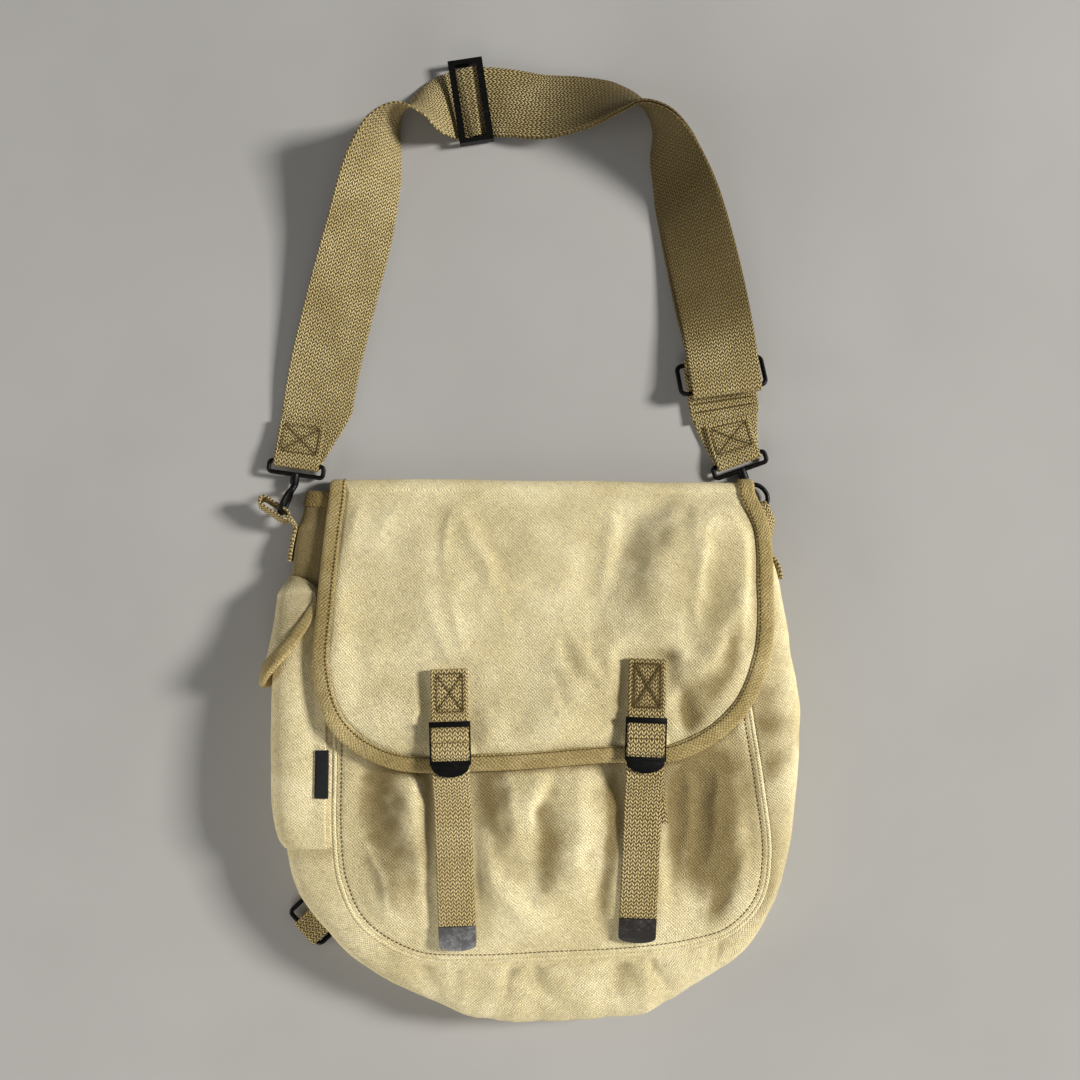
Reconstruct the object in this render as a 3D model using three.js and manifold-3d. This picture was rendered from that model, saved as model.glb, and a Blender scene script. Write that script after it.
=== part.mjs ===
// Canvas musette bag lying on its back, flap closed, shoulder strap laid out above it.
// Millimetres, +Z up, +Y towards the shoulder strap, the back panel flat on z = 0.
import * as THREE from "three";
import { mergeVertices } from "three/addons/utils/BufferGeometryUtils.js";
import Module from "manifold-3d";

const wasm = await Module();
wasm.setup();

const { Vector2, Vector3, Matrix4 } = THREE;
const UP = new Vector3(0, 0, 1);

// Cloth, tape and webbing
const CANVAS = 1.5;
const TAPE = 1.0;
const TAPE_WIDTH = 11;
const TAPE_GAP = 0.65;
const GAP = 0.4;
const STRAP_WIDTH = 48;
const STRAP_THICK = 2.0;
const NARROW_WIDTH = 24.5;
const NARROW_THICK = 1.6;
const LAYER_GAP = 0.4;

// Body of the bag
const MOUTH_Y = 32;
const MOUTH_HEIGHT = 12;
const FULL_HEIGHT = 54;
const RISE_LENGTH = 205;
const DROOP_START_Y = -205;
const DROOP = 8;
const DROOP_LENGTH = 72;
const PANEL_CENTRE_X = 8;
const PANEL_HALF_WIDTH = 146;
const SIDE_FALL = 0.16;
const BULGE_LEVEL = 0.48;
const BULGE_SQUARENESS = 0.6;
const PIPING_RADIUS = 1.6;
const SEAM_INSET = PIPING_RADIUS + 0.7;
const BACK_INSET = 1.1;

// Sections round the body from the left end of the mouth, down, along the bottom and up the right.
// seamX, seamY: front seam; bulge: reach of the gusset past the seam; tuck: back seam inside that.
const SECTIONS = [
  { seamX: -136, seamY: 32, bulge: 25, tuck: 21 },
  { seamX: -137, seamY: -3, bulge: 31.5, tuck: 23.5 },
  { seamX: -138, seamY: -40, bulge: 34, tuck: 20 },
  { seamX: -137, seamY: -86, bulge: 35.5, tuck: 15.5 },
  { seamX: -136, seamY: -145, bulge: 36.5, tuck: 14.5 },
  { seamX: -136, seamY: -198, bulge: 36.5, tuck: 18.5 },
  { seamX: -132, seamY: -228, bulge: 33, tuck: 23 },
  { seamX: -118, seamY: -256, bulge: 24, tuck: 19 },
  { seamX: -83, seamY: -277, bulge: 27.5, tuck: 18.5 },
  { seamX: -44, seamY: -279.5, bulge: 44, tuck: 29 },
  { seamX: 5, seamY: -277, bulge: 49.5, tuck: 31.5 },
  { seamX: 62, seamY: -274, bulge: 48, tuck: 31 },
  { seamX: 100, seamY: -269, bulge: 31, tuck: 22 },
  { seamX: 126, seamY: -261, bulge: 20, tuck: 19 },
  { seamX: 146, seamY: -240, bulge: 12, tuck: 20 },
  { seamX: 152, seamY: -208, bulge: 16, tuck: 24 },
  { seamX: 147, seamY: -162, bulge: 27.5, tuck: 33.5 },
  { seamX: 140, seamY: -116, bulge: 36.5, tuck: 38.5 },
  { seamX: 134, seamY: -67, bulge: 35.5, tuck: 35.5 },
  { seamX: 133, seamY: -18, bulge: 28, tuck: 31 },
  { seamX: 131, seamY: 12, bulge: 8, tuck: 12 },
  { seamX: 130, seamY: 32, bulge: 6, tuck: 10 },
];
const LEFT_CORNER = 7;
const RIGHT_CORNER = 13;
const SEAM_STEPS = 63;

// Flap over the front: plan of its edge from the left end of the fold round to the right end
const FLAP_CLEARANCE = 3.2;
const FOLD_GAP = 1.1;
const POCKET_PROP = 4;
const FLAP_EDGE = [
  { x: -143, y: 32 },
  { x: -146, y: -4 },
  { x: -148, y: -47 },
  { x: -149, y: -88 },
  { x: -135, y: -126 },
  { x: -99, y: -148 },
  { x: -32, y: -149 },
  { x: 40, y: -144 },
  { x: 92, y: -142 },
  { x: 134, y: -115 },
  { x: 153, y: -72 },
  { x: 156, y: -30 },
  { x: 155, y: 8 },
  { x: 138, y: 32 },
];
const FLAP_STEPS = 17;
const FLAP_ROWS = 19;
const FOLD_ROWS = 3;
const FOLD_SHARE = FOLD_ROWS / FLAP_ROWS;
const FLAP_LEFT_CORNER = 4;
const FLAP_RIGHT_CORNER = 9;

// Soft folds: each runs from one point to the other, spreads west towards -X and east towards +X,
// and stands up by its height, so a dent is below zero
const FRONT_FOLDS = [
  { x0: -111, y0: -216, x1: -101, y1: -237, west: 6, east: 5, height: -4.5 },
  { x0: -87, y0: -202, x1: -99, y1: -211, west: 6, east: 6, height: -2.5 },
  { x0: -82, y0: -166, x1: -74, y1: -256, west: 15, east: 9, height: -3 },
  { x0: 14, y0: -178, x1: 16, y1: -228, west: 11, east: 13, height: -4.5 },
  { x0: -13, y0: -158, x1: -28, y1: -192, west: 8, east: 10, height: 2.4 },
  { x0: -28, y0: -224, x1: -19, y1: -256, west: 7, east: 8, height: -2.5 },
  { x0: 100, y0: -156, x1: 88, y1: -180, west: 7, east: 6, height: -3 },
  { x0: 121, y0: -168, x1: 114, y1: -204, west: 6, east: 6, height: -3 },
  { x0: 134, y0: -172, x1: 144, y1: -222, west: 6, east: 6, height: -2.5 },
  { x0: 105, y0: -190, x1: 98, y1: -238, west: 8, east: 9, height: -2.5 },
  { x0: 39, y0: -164, x1: 46, y1: -236, west: 13, east: 13, height: 2 },
  { x0: -121, y0: -170, x1: -125, y1: -204, west: 9, east: 9, height: 2 },
];
const FLAP_FOLDS = [
  { x0: 103, y0: 22, x1: 79, y1: -22, west: 9, east: 20, height: 5 },
  { x0: 79, y0: -22, x1: 70, y1: -52, west: 9, east: 20, height: 4 },
  { x0: 118, y0: 22, x1: 107, y1: -38, west: 7, east: 9, height: 3 },
  { x0: 135, y0: 12, x1: 129, y1: -42, west: 6, east: 7, height: 2 },
  { x0: -55, y0: 19, x1: -24, y1: -38, west: 8, east: 11, height: 2.6 },
  { x0: 54, y0: 24, x1: 43, y1: -28, west: 6, east: 11, height: 2.6 },
  { x0: -92, y0: 26, x1: -110, y1: 6, west: 8, east: 10, height: 2.2 },
  { x0: -68, y0: -50, x1: -57, y1: -72, west: 5, east: 6, height: 1.8 },
  { x0: -80, y0: -38, x1: -71, y1: -64, west: 5, east: 6, height: 1.6 },
  { x0: -53, y0: -46, x1: -46, y1: -74, west: 5, east: 6, height: 1.6 },
  { x0: 16, y0: -66, x1: 33, y1: -88, west: 7, east: 7, height: 2.2 },
  { x0: 5, y0: -78, x1: 22, y1: -98, west: 7, east: 7, height: 1.6 },
  { x0: 84, y0: -106, x1: 138, y1: -76, west: 10, east: 12, height: 3.4 },
  { x0: -130, y0: -12, x1: -131, y1: -80, west: 10, east: 12, height: 2 },
  { x0: -12, y0: -84, x1: -8, y1: -118, west: 24, east: 24, height: 2 },
  { x0: -83, y0: -72, x1: -80, y1: -128, west: 8, east: 8, height: -1.8 },
  { x0: 46, y0: -74, x1: 47, y1: -128, west: 9, east: 8, height: -2 },
];
const GUSSET_PUCKERS = [
  { section: 7.5, width: 0.2, depth: 1.2 },
  { section: 8.3, width: 0.2, depth: 1.4 },
  { section: 9.1, width: 0.2, depth: 1.4 },
  { section: 9.8, width: 0.2, depth: 1.6 },
  { section: 10.6, width: 0.2, depth: 1.6 },
  { section: 11.4, width: 0.2, depth: 1.4 },
  { section: 16.6, width: 0.3, depth: 1.2 },
  { section: 17.7, width: 0.25, depth: 1.2 },
];

// Side pocket on the left gusset; across is 0 at the front seam and 1 at the back seam
const POCKET_TOP_SECTION = 1.95;
const POCKET_BOTTOM_SECTION = 5.18;
const POCKET_SEAM = 0.03;
const POCKET_FROM = 0.1;
const POCKET_TO = 0.68;
const POCKET_FULLNESS = 8;
const POCKET_FLAP_TOP = 1.62;
const POCKET_FLAP_SIDE = 2.25;
const POCKET_FLAP_TIP = 3.22;
const POCKET_FLAP_TIP_ACROSS = 0.68;
const POCKET_FLAP_LIFT = 4;
const POCKET_FLAP_FROM = 0.1;
const POCKET_FLAP_TO = 0.7;

// Seam label, plain
const LABEL_FROM_SECTION = 3.9;
const LABEL_TO_SECTION = 4.47;
const LABEL_FROM = 0.012;
const LABEL_TO = 0.095;
const LABEL_THICK = 0.8;

// Closures: buckle middle, sideways lean of the strap, lengths along the strap from that middle
const CLOSURES = [
  { side: "left", x: -58.4, y: -131.7, lean: 0.031, tabEnd: 47, anchor: -54, anchorShift: 0, tail: 122 },
  { side: "right", x: 68.8, y: -129.1, lean: -0.038, tabEnd: 51, anchor: -56, anchorShift: 5, tail: 119 },
];
const TIP_LENGTH = 16.5;
const TIP_BOW = 4;
const TIP_THICK = 3;
const BUCKLE_INNER = 25.4;
const BUCKLE_RAIL = 1.4;
const BAR_DEPTH = 3;
const BAR_OFFSET = 4.6;
const BAR_LOW = 2.2;
const BAR_HIGH = 4.2;
const TOP_BAR_NEAR = 9.8;
const TOP_BAR_FAR = 13.4;
const MOON_NEAR = -12;
const MOON_FAR = -22.5;
const COVER_LOW = 4.2;
const COVER_HIGH = 5.7;
const LOWER_LAYER = 1.1;
const UPPER_LAYER = 3.0;
const OVER_BAR = 5.45;

// Shoulder strap: middle line from the left hook round to the right ring.
// tilt: 0 inner face up, 90 standing on its edge, 180 outer face up; lift: height off the floor.
const STRAP_STATIONS = [
  { x: -160.8, y: 52, tilt: 2, lift: 1 },
  { x: -156.8, y: 80, tilt: 4, lift: 0 },
  { x: -150.5, y: 116, tilt: 8, lift: 0 },
  { x: -139.4, y: 161, tilt: 14, lift: 0 },
  { x: -124, y: 216, tilt: 26, lift: 0 },
  { x: -114.5, y: 253, tilt: 42, lift: 0 },
  { x: -106, y: 277, tilt: 66, lift: 0 },
  { x: -95, y: 292, tilt: 98, lift: 0 },
  { x: -81, y: 298.5, tilt: 130, lift: 0 },
  { x: -68, y: 301, tilt: 164, lift: 0.3 },
  { x: -57.5, y: 302.9, tilt: 180, lift: 1.2 },
  { x: -48, y: 304.7, tilt: 180, lift: 4.6 },
  { x: -39, y: 305.6, tilt: 180, lift: 0.2 },
  { x: -22, y: 304.2, tilt: 175, lift: 0 },
  { x: 2, y: 300.8, tilt: 168, lift: 0 },
  { x: 27, y: 301.5, tilt: 154, lift: 0 },
  { x: 50, y: 302.5, tilt: 134, lift: 0 },
  { x: 68, y: 299, tilt: 112, lift: 0 },
  { x: 82, y: 287, tilt: 88, lift: 0 },
  { x: 91, y: 267, tilt: 58, lift: 0 },
  { x: 102, y: 236, tilt: 34, lift: 0 },
  { x: 110, y: 207, tilt: 22, lift: 1 },
  { x: 119, y: 167, tilt: 10, lift: 5 },
  { x: 124.4, y: 136, tilt: 3, lift: 8.6 },
  { x: 128.6, y: 104, tilt: 0, lift: 9.4 },
];
const SLIDER_STATION = 11;
const END_WIDTH = 31.5;
const TAPER_STATION = 1.35;
const PATCH_LENGTH = 29;
const WIRE_RADIUS = 1.6;
const WIRE_SIDES = 6;
const WRAP_RADIUS = WIRE_RADIUS + GAP + STRAP_THICK / 2;

// Strap slider
const SLIDER_LENGTH = 57.5;
const SLIDER_DEPTH = 24;
const SLIDER_SIDE_BAR = 4.6;
const SLIDER_END_BAR = 3;
const SLIDER_CENTRE_BAR = 4;
const SLIDER_BASE = 2.5;
const SLIDER_BAR_LOW = 7.2;
const SLIDER_TOP = 9.4;

// Ring, snap bails and hooks
const RING_WIDTH = 62;
const RING_DEPTH = 26;
const RING_CORNER = 4;
const RING_SHIFT = 1.8;
const BAIL_WIDTH = 41;
const BAIL_DEPTH = 11;
const BAIL_CORNER = 2.5;
const BARREL_RADIUS = 3.1;
const BARREL_LENGTH = 8;
const COLLAR_LENGTH = 4.5;
const SWIVEL_GAP = 1.55;
const EYE_OUTLINE = [
  { across: 0, down: 0 },
  { across: 5, down: 3 },
  { across: 8.4, down: 9.5 },
  { across: 8.4, down: 14.5 },
  { across: 6, down: 18.2 },
  { across: 0, down: 18.4 },
];
const TAB_LENGTH = 69.9;
const TAB_BEND = THREE.MathUtils.degToRad(12);
const TAB_BEND_FROM = 24;
const LOOP_WIDTH = 10.5;
const LOOP_THICK = 1.8;
const LOOP_SLIT = { left: { beyond: 13, before: 4 }, right: { beyond: 0.1, before: 0.1 } };

// Short tab and ring at the lower left corner of the back
const BACK_TAB_WIDTH = 20;
const BACK_TAB_LENGTH = 33;
const BACK_TAB_ANGLE = THREE.MathUtils.degToRad(222.5);
const BACK_TAB_HUMP = 26;
const BACK_RING_WIDTH = 34;
const BACK_RING_DEPTH = 24;
const BACK_RING_SHIFT = -2.5;

const COLOURS = {
  canvas: { color: 0xd2c48f, roughness: 0.95, metalness: 0 },
  tape: { color: 0xb09a5c, roughness: 0.95, metalness: 0 },
  webbing: { color: 0xad9a62, roughness: 0.95, metalness: 0 },
  black: { color: 0x17181a, roughness: 0.45, metalness: 0.6 },
  worn: { color: 0x6e6c66, roughness: 0.4, metalness: 0.9 },
  label: { color: 0x151515, roughness: 0.9, metalness: 0 },
};

const bag = new THREE.Group();
bag.name = "musette_bag";

function addPiece(name, geometry, colour, parent = bag) {
  const mesh = new THREE.Mesh(geometry, new THREE.MeshStandardMaterial(COLOURS[colour]));
  mesh.name = name;
  parent.add(mesh);
  return mesh;
}

// Solids from surfaces
function closedGeometry(points, faces) {
  const geometry = new THREE.BufferGeometry();
  const flat = points.flatMap((p) => p.toArray());
  geometry.setAttribute("position", new THREE.Float32BufferAttribute(flat, 3));
  let volume = 0;
  for (const [a, b, c] of faces) {
    volume += points[a].dot(new Vector3().crossVectors(points[b], points[c]));
  }
  const turned = volume < 0 ? faces.map(([a, b, c]) => [a, c, b]) : faces;
  geometry.setIndex(turned.flat());
  geometry.computeVertexNormals();
  return geometry;
}

function shell(outer, inner) {
  const rows = outer.length;
  const columns = outer[0].length;
  const points = [...outer.flat(), ...inner.flat()];
  const faces = [];
  const at = (layer, i, j) => layer * rows * columns + i * columns + j;
  const quad = (a, b, c, d) => faces.push([a, b, c], [a, c, d]);
  for (let i = 0; i < rows - 1; i++) {
    for (let j = 0; j < columns - 1; j++) {
      quad(at(0, i, j), at(0, i + 1, j), at(0, i + 1, j + 1), at(0, i, j + 1));
      quad(at(1, i, j), at(1, i, j + 1), at(1, i + 1, j + 1), at(1, i + 1, j));
    }
  }
  for (let i = 0; i < rows - 1; i++) {
    quad(at(0, i + 1, 0), at(0, i, 0), at(1, i, 0), at(1, i + 1, 0));
    const j = columns - 1;
    quad(at(0, i, j), at(0, i + 1, j), at(1, i + 1, j), at(1, i, j));
  }
  for (let j = 0; j < columns - 1; j++) {
    quad(at(0, 0, j), at(0, 0, j + 1), at(1, 0, j + 1), at(1, 0, j));
    quad(at(0, rows - 1, j + 1), at(0, rows - 1, j), at(1, rows - 1, j), at(1, rows - 1, j + 1));
  }
  return closedGeometry(points, faces);
}

function gridNormal(grid, i, j) {
  const last = [grid.length - 1, grid[0].length - 1];
  const along = grid[Math.min(i + 1, last[0])][j].clone().sub(grid[Math.max(i - 1, 0)][j]);
  const across = grid[i][Math.min(j + 1, last[1])].clone().sub(grid[i][Math.max(j - 1, 0)]);
  return along.cross(across).normalize();
}

function clothWall(pointAt, steps, crossSteps, thickness) {
  const outer = [];
  for (let i = 0; i <= steps; i++) {
    outer.push(Array.from({ length: crossSteps + 1 }, (_, j) => pointAt(i / steps, j / crossSteps)));
  }
  const inner = outer.map((row, i) =>
    row.map((p, j) => p.clone().addScaledVector(gridNormal(outer, i, j), thickness)));
  return shell(outer, inner);
}

// Webbing through pairs of edge points, the same thickness all along
function ribbon(pairs, thickness) {
  const middles = pairs.map(([a, b]) => a.clone().add(b).multiplyScalar(0.5));
  const outer = [];
  const inner = [];
  pairs.forEach(([a, b], i) => {
    const before = middles[Math.max(i - 1, 0)];
    const after = middles[Math.min(i + 1, pairs.length - 1)];
    const normal = after.clone().sub(before).cross(b.clone().sub(a)).normalize();
    const half = normal.multiplyScalar(thickness / 2);
    outer.push([a.clone().add(half), b.clone().add(half)]);
    inner.push([a.clone().sub(half), b.clone().sub(half)]);
  });
  return shell(outer, inner);
}

function solidOf(geometry) {
  const bare = geometry.clone();
  bare.deleteAttribute("normal");
  bare.deleteAttribute("uv");
  const merged = mergeVertices(bare, 1e-4);
  return new wasm.Manifold(new wasm.Mesh({
    numProp: 3,
    vertProperties: new Float32Array(merged.attributes.position.array),
    triVerts: new Uint32Array(merged.index.array),
  }));
}

function joined(...geometries) {
  const solid = geometries.map(solidOf).reduce((a, b) => a.add(b));
  const mesh = solid.getMesh();
  const geometry = new THREE.BufferGeometry();
  const kept = [];
  for (let i = 0; i < mesh.vertProperties.length; i += mesh.numProp) {
    kept.push(mesh.vertProperties[i], mesh.vertProperties[i + 1], mesh.vertProperties[i + 2]);
  }
  geometry.setAttribute("position", new THREE.Float32BufferAttribute(kept, 3));
  geometry.setIndex(Array.from(mesh.triVerts));
  geometry.computeVertexNormals();
  return geometry;
}

function closedWire(width, depth, corner, radius, segments) {
  const shape = new THREE.Shape();
  const w = width / 2 - radius;
  const d = depth / 2 - radius;
  const r = Math.min(corner, w - 0.01, d - 0.01);
  shape.moveTo(-w + r, -d);
  shape.lineTo(w - r, -d);
  shape.absarc(w - r, -d + r, r, -Math.PI / 2, 0, false);
  shape.lineTo(w, d - r);
  shape.absarc(w - r, d - r, r, 0, Math.PI / 2, false);
  shape.lineTo(-w + r, d);
  shape.absarc(-w + r, d - r, r, Math.PI / 2, Math.PI, false);
  shape.lineTo(-w, -d + r);
  shape.absarc(-w + r, -d + r, r, Math.PI, 1.5 * Math.PI, false);
  const points = shape.getSpacedPoints(segments).slice(0, segments);
  const path = new THREE.CatmullRomCurve3(points.map((p) => new Vector3(p.x, p.y, 0)), true, "centripetal");
  return new THREE.TubeGeometry(path, segments, radius, WIRE_SIDES, true);
}

// Body surfaces
const clamp = THREE.MathUtils.clamp;
const lerp = THREE.MathUtils.lerp;

function foldHeight(folds, x, y) {
  let height = 0;
  for (const fold of folds) {
    const run = new Vector2(fold.x1 - fold.x0, fold.y1 - fold.y0);
    const reach = new Vector2(x - fold.x0, y - fold.y0);
    const along = clamp(reach.dot(run) / run.lengthSq(), 0, 1);
    const eastward = reach.cross(run) * Math.sign(run.y) / run.length();
    const gap = Math.max(reach.sub(run.multiplyScalar(along)).length(), 1e-6);
    const away = gap / lerp(fold.west, fold.east, 0.5 + 0.5 * eastward / gap);
    const crest = Math.exp(-1.7 * (Math.sqrt(away * away + 0.06) - Math.sqrt(0.06)));
    height += fold.height * crest * (0.55 + 0.45 * Math.sin(Math.PI * along));
  }
  return height;
}

function bodyHeight(x, y) {
  const rise = clamp((MOUTH_Y - y) / RISE_LENGTH, 0, 1);
  let height = MOUTH_HEIGHT + (FULL_HEIGHT - MOUTH_HEIGHT) * Math.sin(rise * Math.PI / 2);
  height -= DROOP * clamp((DROOP_START_Y - y) / DROOP_LENGTH, 0, 1.2) ** 2;
  const side = Math.abs((x - PANEL_CENTRE_X) / PANEL_HALF_WIDTH);
  return height * (1 - SIDE_FALL * side ** 2.6);
}

const lastSection = SECTIONS.length - 1;
const seamLine = new THREE.CatmullRomCurve3(SECTIONS.map((s) => new Vector3(s.seamX, s.seamY, 0)));
const girthLine = new THREE.CatmullRomCurve3(SECTIONS.map((s) => new Vector3(s.bulge, s.tuck, 0)));

function seamFrame(section) {
  const u = clamp(section / lastSection, 0, 1);
  const step = 0.002;
  const point = seamLine.getPoint(u);
  const ahead = seamLine.getPoint(Math.min(u + step, 1));
  const run = ahead.sub(seamLine.getPoint(Math.max(u - step, 0))).normalize();
  const girth = girthLine.getPoint(u);
  return { point, out: new Vector3(run.y, -run.x, 0), bulge: girth.x, tuck: girth.y };
}

function seamPoint(section, outward = 0) {
  const { point, out } = seamFrame(section);
  const p = point.addScaledVector(out, outward);
  p.z = bodyHeight(p.x, p.y);
  return p;
}

function backPoint(section, inward = 0) {
  const { point, out, bulge, tuck } = seamFrame(section);
  return point.addScaledVector(out, bulge - tuck - inward);
}

function gussetPoint(section, across) {
  const { point, out, bulge, tuck } = seamFrame(section);
  const top = bodyHeight(point.x, point.y);
  const level = top * BULGE_LEVEL;
  let reach;
  let z;
  if (across < 0.5) {
    const angle = across * Math.PI;
    reach = SEAM_INSET + (bulge - SEAM_INSET) * Math.sin(angle);
    z = level + (top - level) * Math.cos(angle) ** BULGE_SQUARENESS;
  } else {
    const angle = (across - 0.5) * Math.PI;
    reach = bulge - tuck + tuck * Math.cos(angle);
    z = level * (1 - Math.sin(angle));
  }
  const soft = Math.sin(Math.PI * clamp(across / 0.62, 0, 1));
  for (const pucker of GUSSET_PUCKERS) {
    const dent = pucker.depth * Math.exp(-(((section - pucker.section) / pucker.width) ** 2)) * soft;
    reach -= dent * 0.7;
    z -= dent * 0.5;
  }
  const p = point.addScaledVector(out, reach);
  p.z = z;
  return p;
}

function gussetNormal(section, across) {
  const step = 0.01;
  const along = gussetPoint(section + step, across).sub(gussetPoint(section - step, across));
  const over = gussetPoint(section, Math.min(across + step, 1));
  over.sub(gussetPoint(section, Math.max(across - step, 0)));
  return over.cross(along).normalize();
}

// Four-sided patch in plan between a left, bottom, right and top edge
function patch(edgeAt, leftCorner, rightCorner, last) {
  const left = (t) => edgeAt(t * leftCorner);
  const bottom = (s) => edgeAt(lerp(leftCorner, rightCorner, s));
  const right = (t) => edgeAt(lerp(last, rightCorner, t));
  const top = (s) => edgeAt(0).lerp(edgeAt(last), s);
  return (s, t) => {
    const p = top(s).multiplyScalar(1 - t).addScaledVector(bottom(s), t);
    p.addScaledVector(left(t), 1 - s).addScaledVector(right(t), s);
    p.addScaledVector(top(0), -(1 - s) * (1 - t)).addScaledVector(top(1), -s * (1 - t));
    return p.addScaledVector(bottom(0), -(1 - s) * t).addScaledVector(bottom(1), -s * t);
  };
}

const flapLine = new THREE.CatmullRomCurve3(FLAP_EDGE.map((e) => new Vector3(e.x, e.y, 0)));
const flapLast = FLAP_EDGE.length - 1;
const flapEdgeAt = (k) => flapLine.getPoint(clamp(k / flapLast, 0, 1));
const flapPlan = patch(flapEdgeAt, FLAP_LEFT_CORNER, FLAP_RIGHT_CORNER, flapLast);

function flapTop(x, y) {
  const fade = clamp((MOUTH_Y - 4 - y) / 20, 0, 1);
  const edge = THREE.MathUtils.smoothstep(-x, 118, 140);
  const prop = POCKET_PROP * edge * THREE.MathUtils.smoothstep(-y, 5, 45);
  return bodyHeight(x, y) + FLAP_CLEARANCE + CANVAS + prop + fade * foldHeight(FLAP_FOLDS, x, y);
}

function flapPoint(s, t) {
  if (t < FOLD_SHARE) {
    const p = flapPlan(s, 0);
    const radius = flapTop(p.x, p.y) / 2;
    const angle = Math.PI * t / FOLD_SHARE;
    return new Vector3(p.x, p.y + FOLD_GAP + radius * Math.sin(angle), radius * (1 - Math.cos(angle)));
  }
  const p = flapPlan(s, (t - FOLD_SHARE) / (1 - FOLD_SHARE));
  p.y += FOLD_GAP * (1 - (t - FOLD_SHARE) / (1 - FOLD_SHARE));
  p.z = flapTop(p.x, p.y);
  return p;
}

const frontPlan = patch((k) => seamPoint(k, -SEAM_INSET), LEFT_CORNER, RIGHT_CORNER, lastSection);
function frontPoint(s, t) {
  const p = frontPlan(s, t);
  const edge = Math.min(1, 6 * Math.min(s, 1 - s), 6 * (1 - t));
  p.z = bodyHeight(p.x, p.y) + edge * Math.min(foldHeight(FRONT_FOLDS, p.x, p.y), 2.4);
  return p;
}

const backPlan = patch((k) => backPoint(k, BACK_INSET), LEFT_CORNER, RIGHT_CORNER, lastSection);
function backPanelPoint(s, t) {
  const p = backPlan(1 - s, t);
  p.z = 0;
  return p;
}

addPiece("front_panel", clothWall(frontPoint, 17, 15, CANVAS), "canvas");
addPiece("back_panel", clothWall(backPanelPoint, 12, 8, CANVAS), "canvas");
addPiece("gusset", clothWall((u, v) => gussetPoint(u * lastSection, v), SEAM_STEPS, 5, CANVAS), "canvas");

// Piping in the front seam
class SeamPath extends THREE.Curve {
  getUtoTmapping(u) {
    return u;
  }

  getPoint(t, target = new Vector3()) {
    const p = seamPoint(t * lastSection);
    return target.set(p.x, p.y, p.z - CANVAS / 2);
  }
}
const PIPING_SIDES = 4;
const pipingSection = new THREE.Shape(Array.from({ length: PIPING_SIDES }, (_, i) => {
  const angle = 2 * Math.PI * i / PIPING_SIDES;
  return new Vector2(PIPING_RADIUS * Math.cos(angle), PIPING_RADIUS * Math.sin(angle));
}));
addPiece("front_piping", new THREE.ExtrudeGeometry(pipingSection, {
  extrudePath: new SeamPath(), steps: SEAM_STEPS, bevelEnabled: false,
}), "canvas");

// Flap and its binding
addPiece("flap", clothWall(flapPoint, FLAP_STEPS, FLAP_ROWS, CANVAS), "canvas");

// Tape folded over an edge; placeAt gives the cloth and its outer normal some way in from the edge
function binding(edgeAt, steps, thickness) {
  const outer = [];
  const inner = [];
  const under = TAPE_WIDTH * 0.8;
  for (let i = 0; i <= steps; i++) {
    const placeAt = edgeAt(i / steps);
    const place = (inside, height) => {
      const { point, normal } = placeAt(inside);
      return point.clone().addScaledVector(normal, height);
    };
    const low = -thickness - TAPE_GAP;
    const high = TAPE_GAP + TAPE;
    inner.push([
      place(TAPE_WIDTH, TAPE_GAP), place(TAPE_WIDTH / 2, TAPE_GAP),
      place(-TAPE_GAP, TAPE_GAP), place(-TAPE_GAP, low), place(under, low)]);
    outer.push([
      place(TAPE_WIDTH, high), place(TAPE_WIDTH / 2, high),
      place(-high, TAPE_GAP + TAPE * 0.7), place(-high, low - TAPE * 0.7), place(under, low - TAPE)]);
  }
  return shell(outer, inner);
}

// A line of cloth points from the edge inwards, and the place some way along it
function along(line, inside) {
  if (inside <= 0) {
    const outward = line[0].clone().sub(line[1]).normalize();
    return line[0].clone().addScaledVector(outward, -inside);
  }
  let left = inside;
  for (let i = 0; i < line.length - 1; i++) {
    const length = line[i].distanceTo(line[i + 1]);
    if (left <= length) return line[i].clone().lerp(line[i + 1], left / length);
    left -= length;
  }
  return line[line.length - 1].clone();
}

const flapGrid = Array.from({ length: FLAP_STEPS + 1 }, (_, i) =>
  Array.from({ length: FLAP_ROWS + 1 }, (_, j) => flapPoint(i / FLAP_STEPS, j / FLAP_ROWS)));
const flapRim = [
  ...Array.from({ length: FLAP_ROWS - 1 }, (_, n) => ({ i: 0, j: n + 1, di: 1, dj: 0 })),
  { i: 0, j: FLAP_ROWS, di: 1, dj: -1 },
  ...Array.from({ length: FLAP_STEPS - 1 }, (_, n) => ({ i: n + 1, j: FLAP_ROWS, di: 0, dj: -1 })),
  { i: FLAP_STEPS, j: FLAP_ROWS, di: -1, dj: -1 },
  ...Array.from({ length: FLAP_ROWS - 1 }, (_, n) =>
    ({ i: FLAP_STEPS, j: FLAP_ROWS - 1 - n, di: -1, dj: 0 })),
];
function flapBindingPlace(k) {
  const { i, j, di, dj } = flapRim[Math.round(k * (flapRim.length - 1))];
  const line = [0, 1, 2].map((n) => flapGrid[i + n * di][j + n * dj]);
  const normal = gridNormal(flapGrid, i, j).negate();
  return (inside) => ({ point: along(line, inside), normal });
}
addPiece("flap_binding", binding(flapBindingPlace, flapRim.length - 1, CANVAS), "tape");

// Hem tape over the gusset ends at the mouth
function hemPlace(k) {
  const across = lerp(0.2, 0.6, k);
  return (inside) => {
    const section = clamp(inside / 35, 0, 1);
    const point = gussetPoint(section, across);
    if (inside < 0) point.y -= inside;
    return { point, normal: gussetNormal(Math.max(section, 0.02), across) };
  };
}
addPiece("hem_tape_left", binding(hemPlace, 2, CANVAS), "tape");

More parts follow.
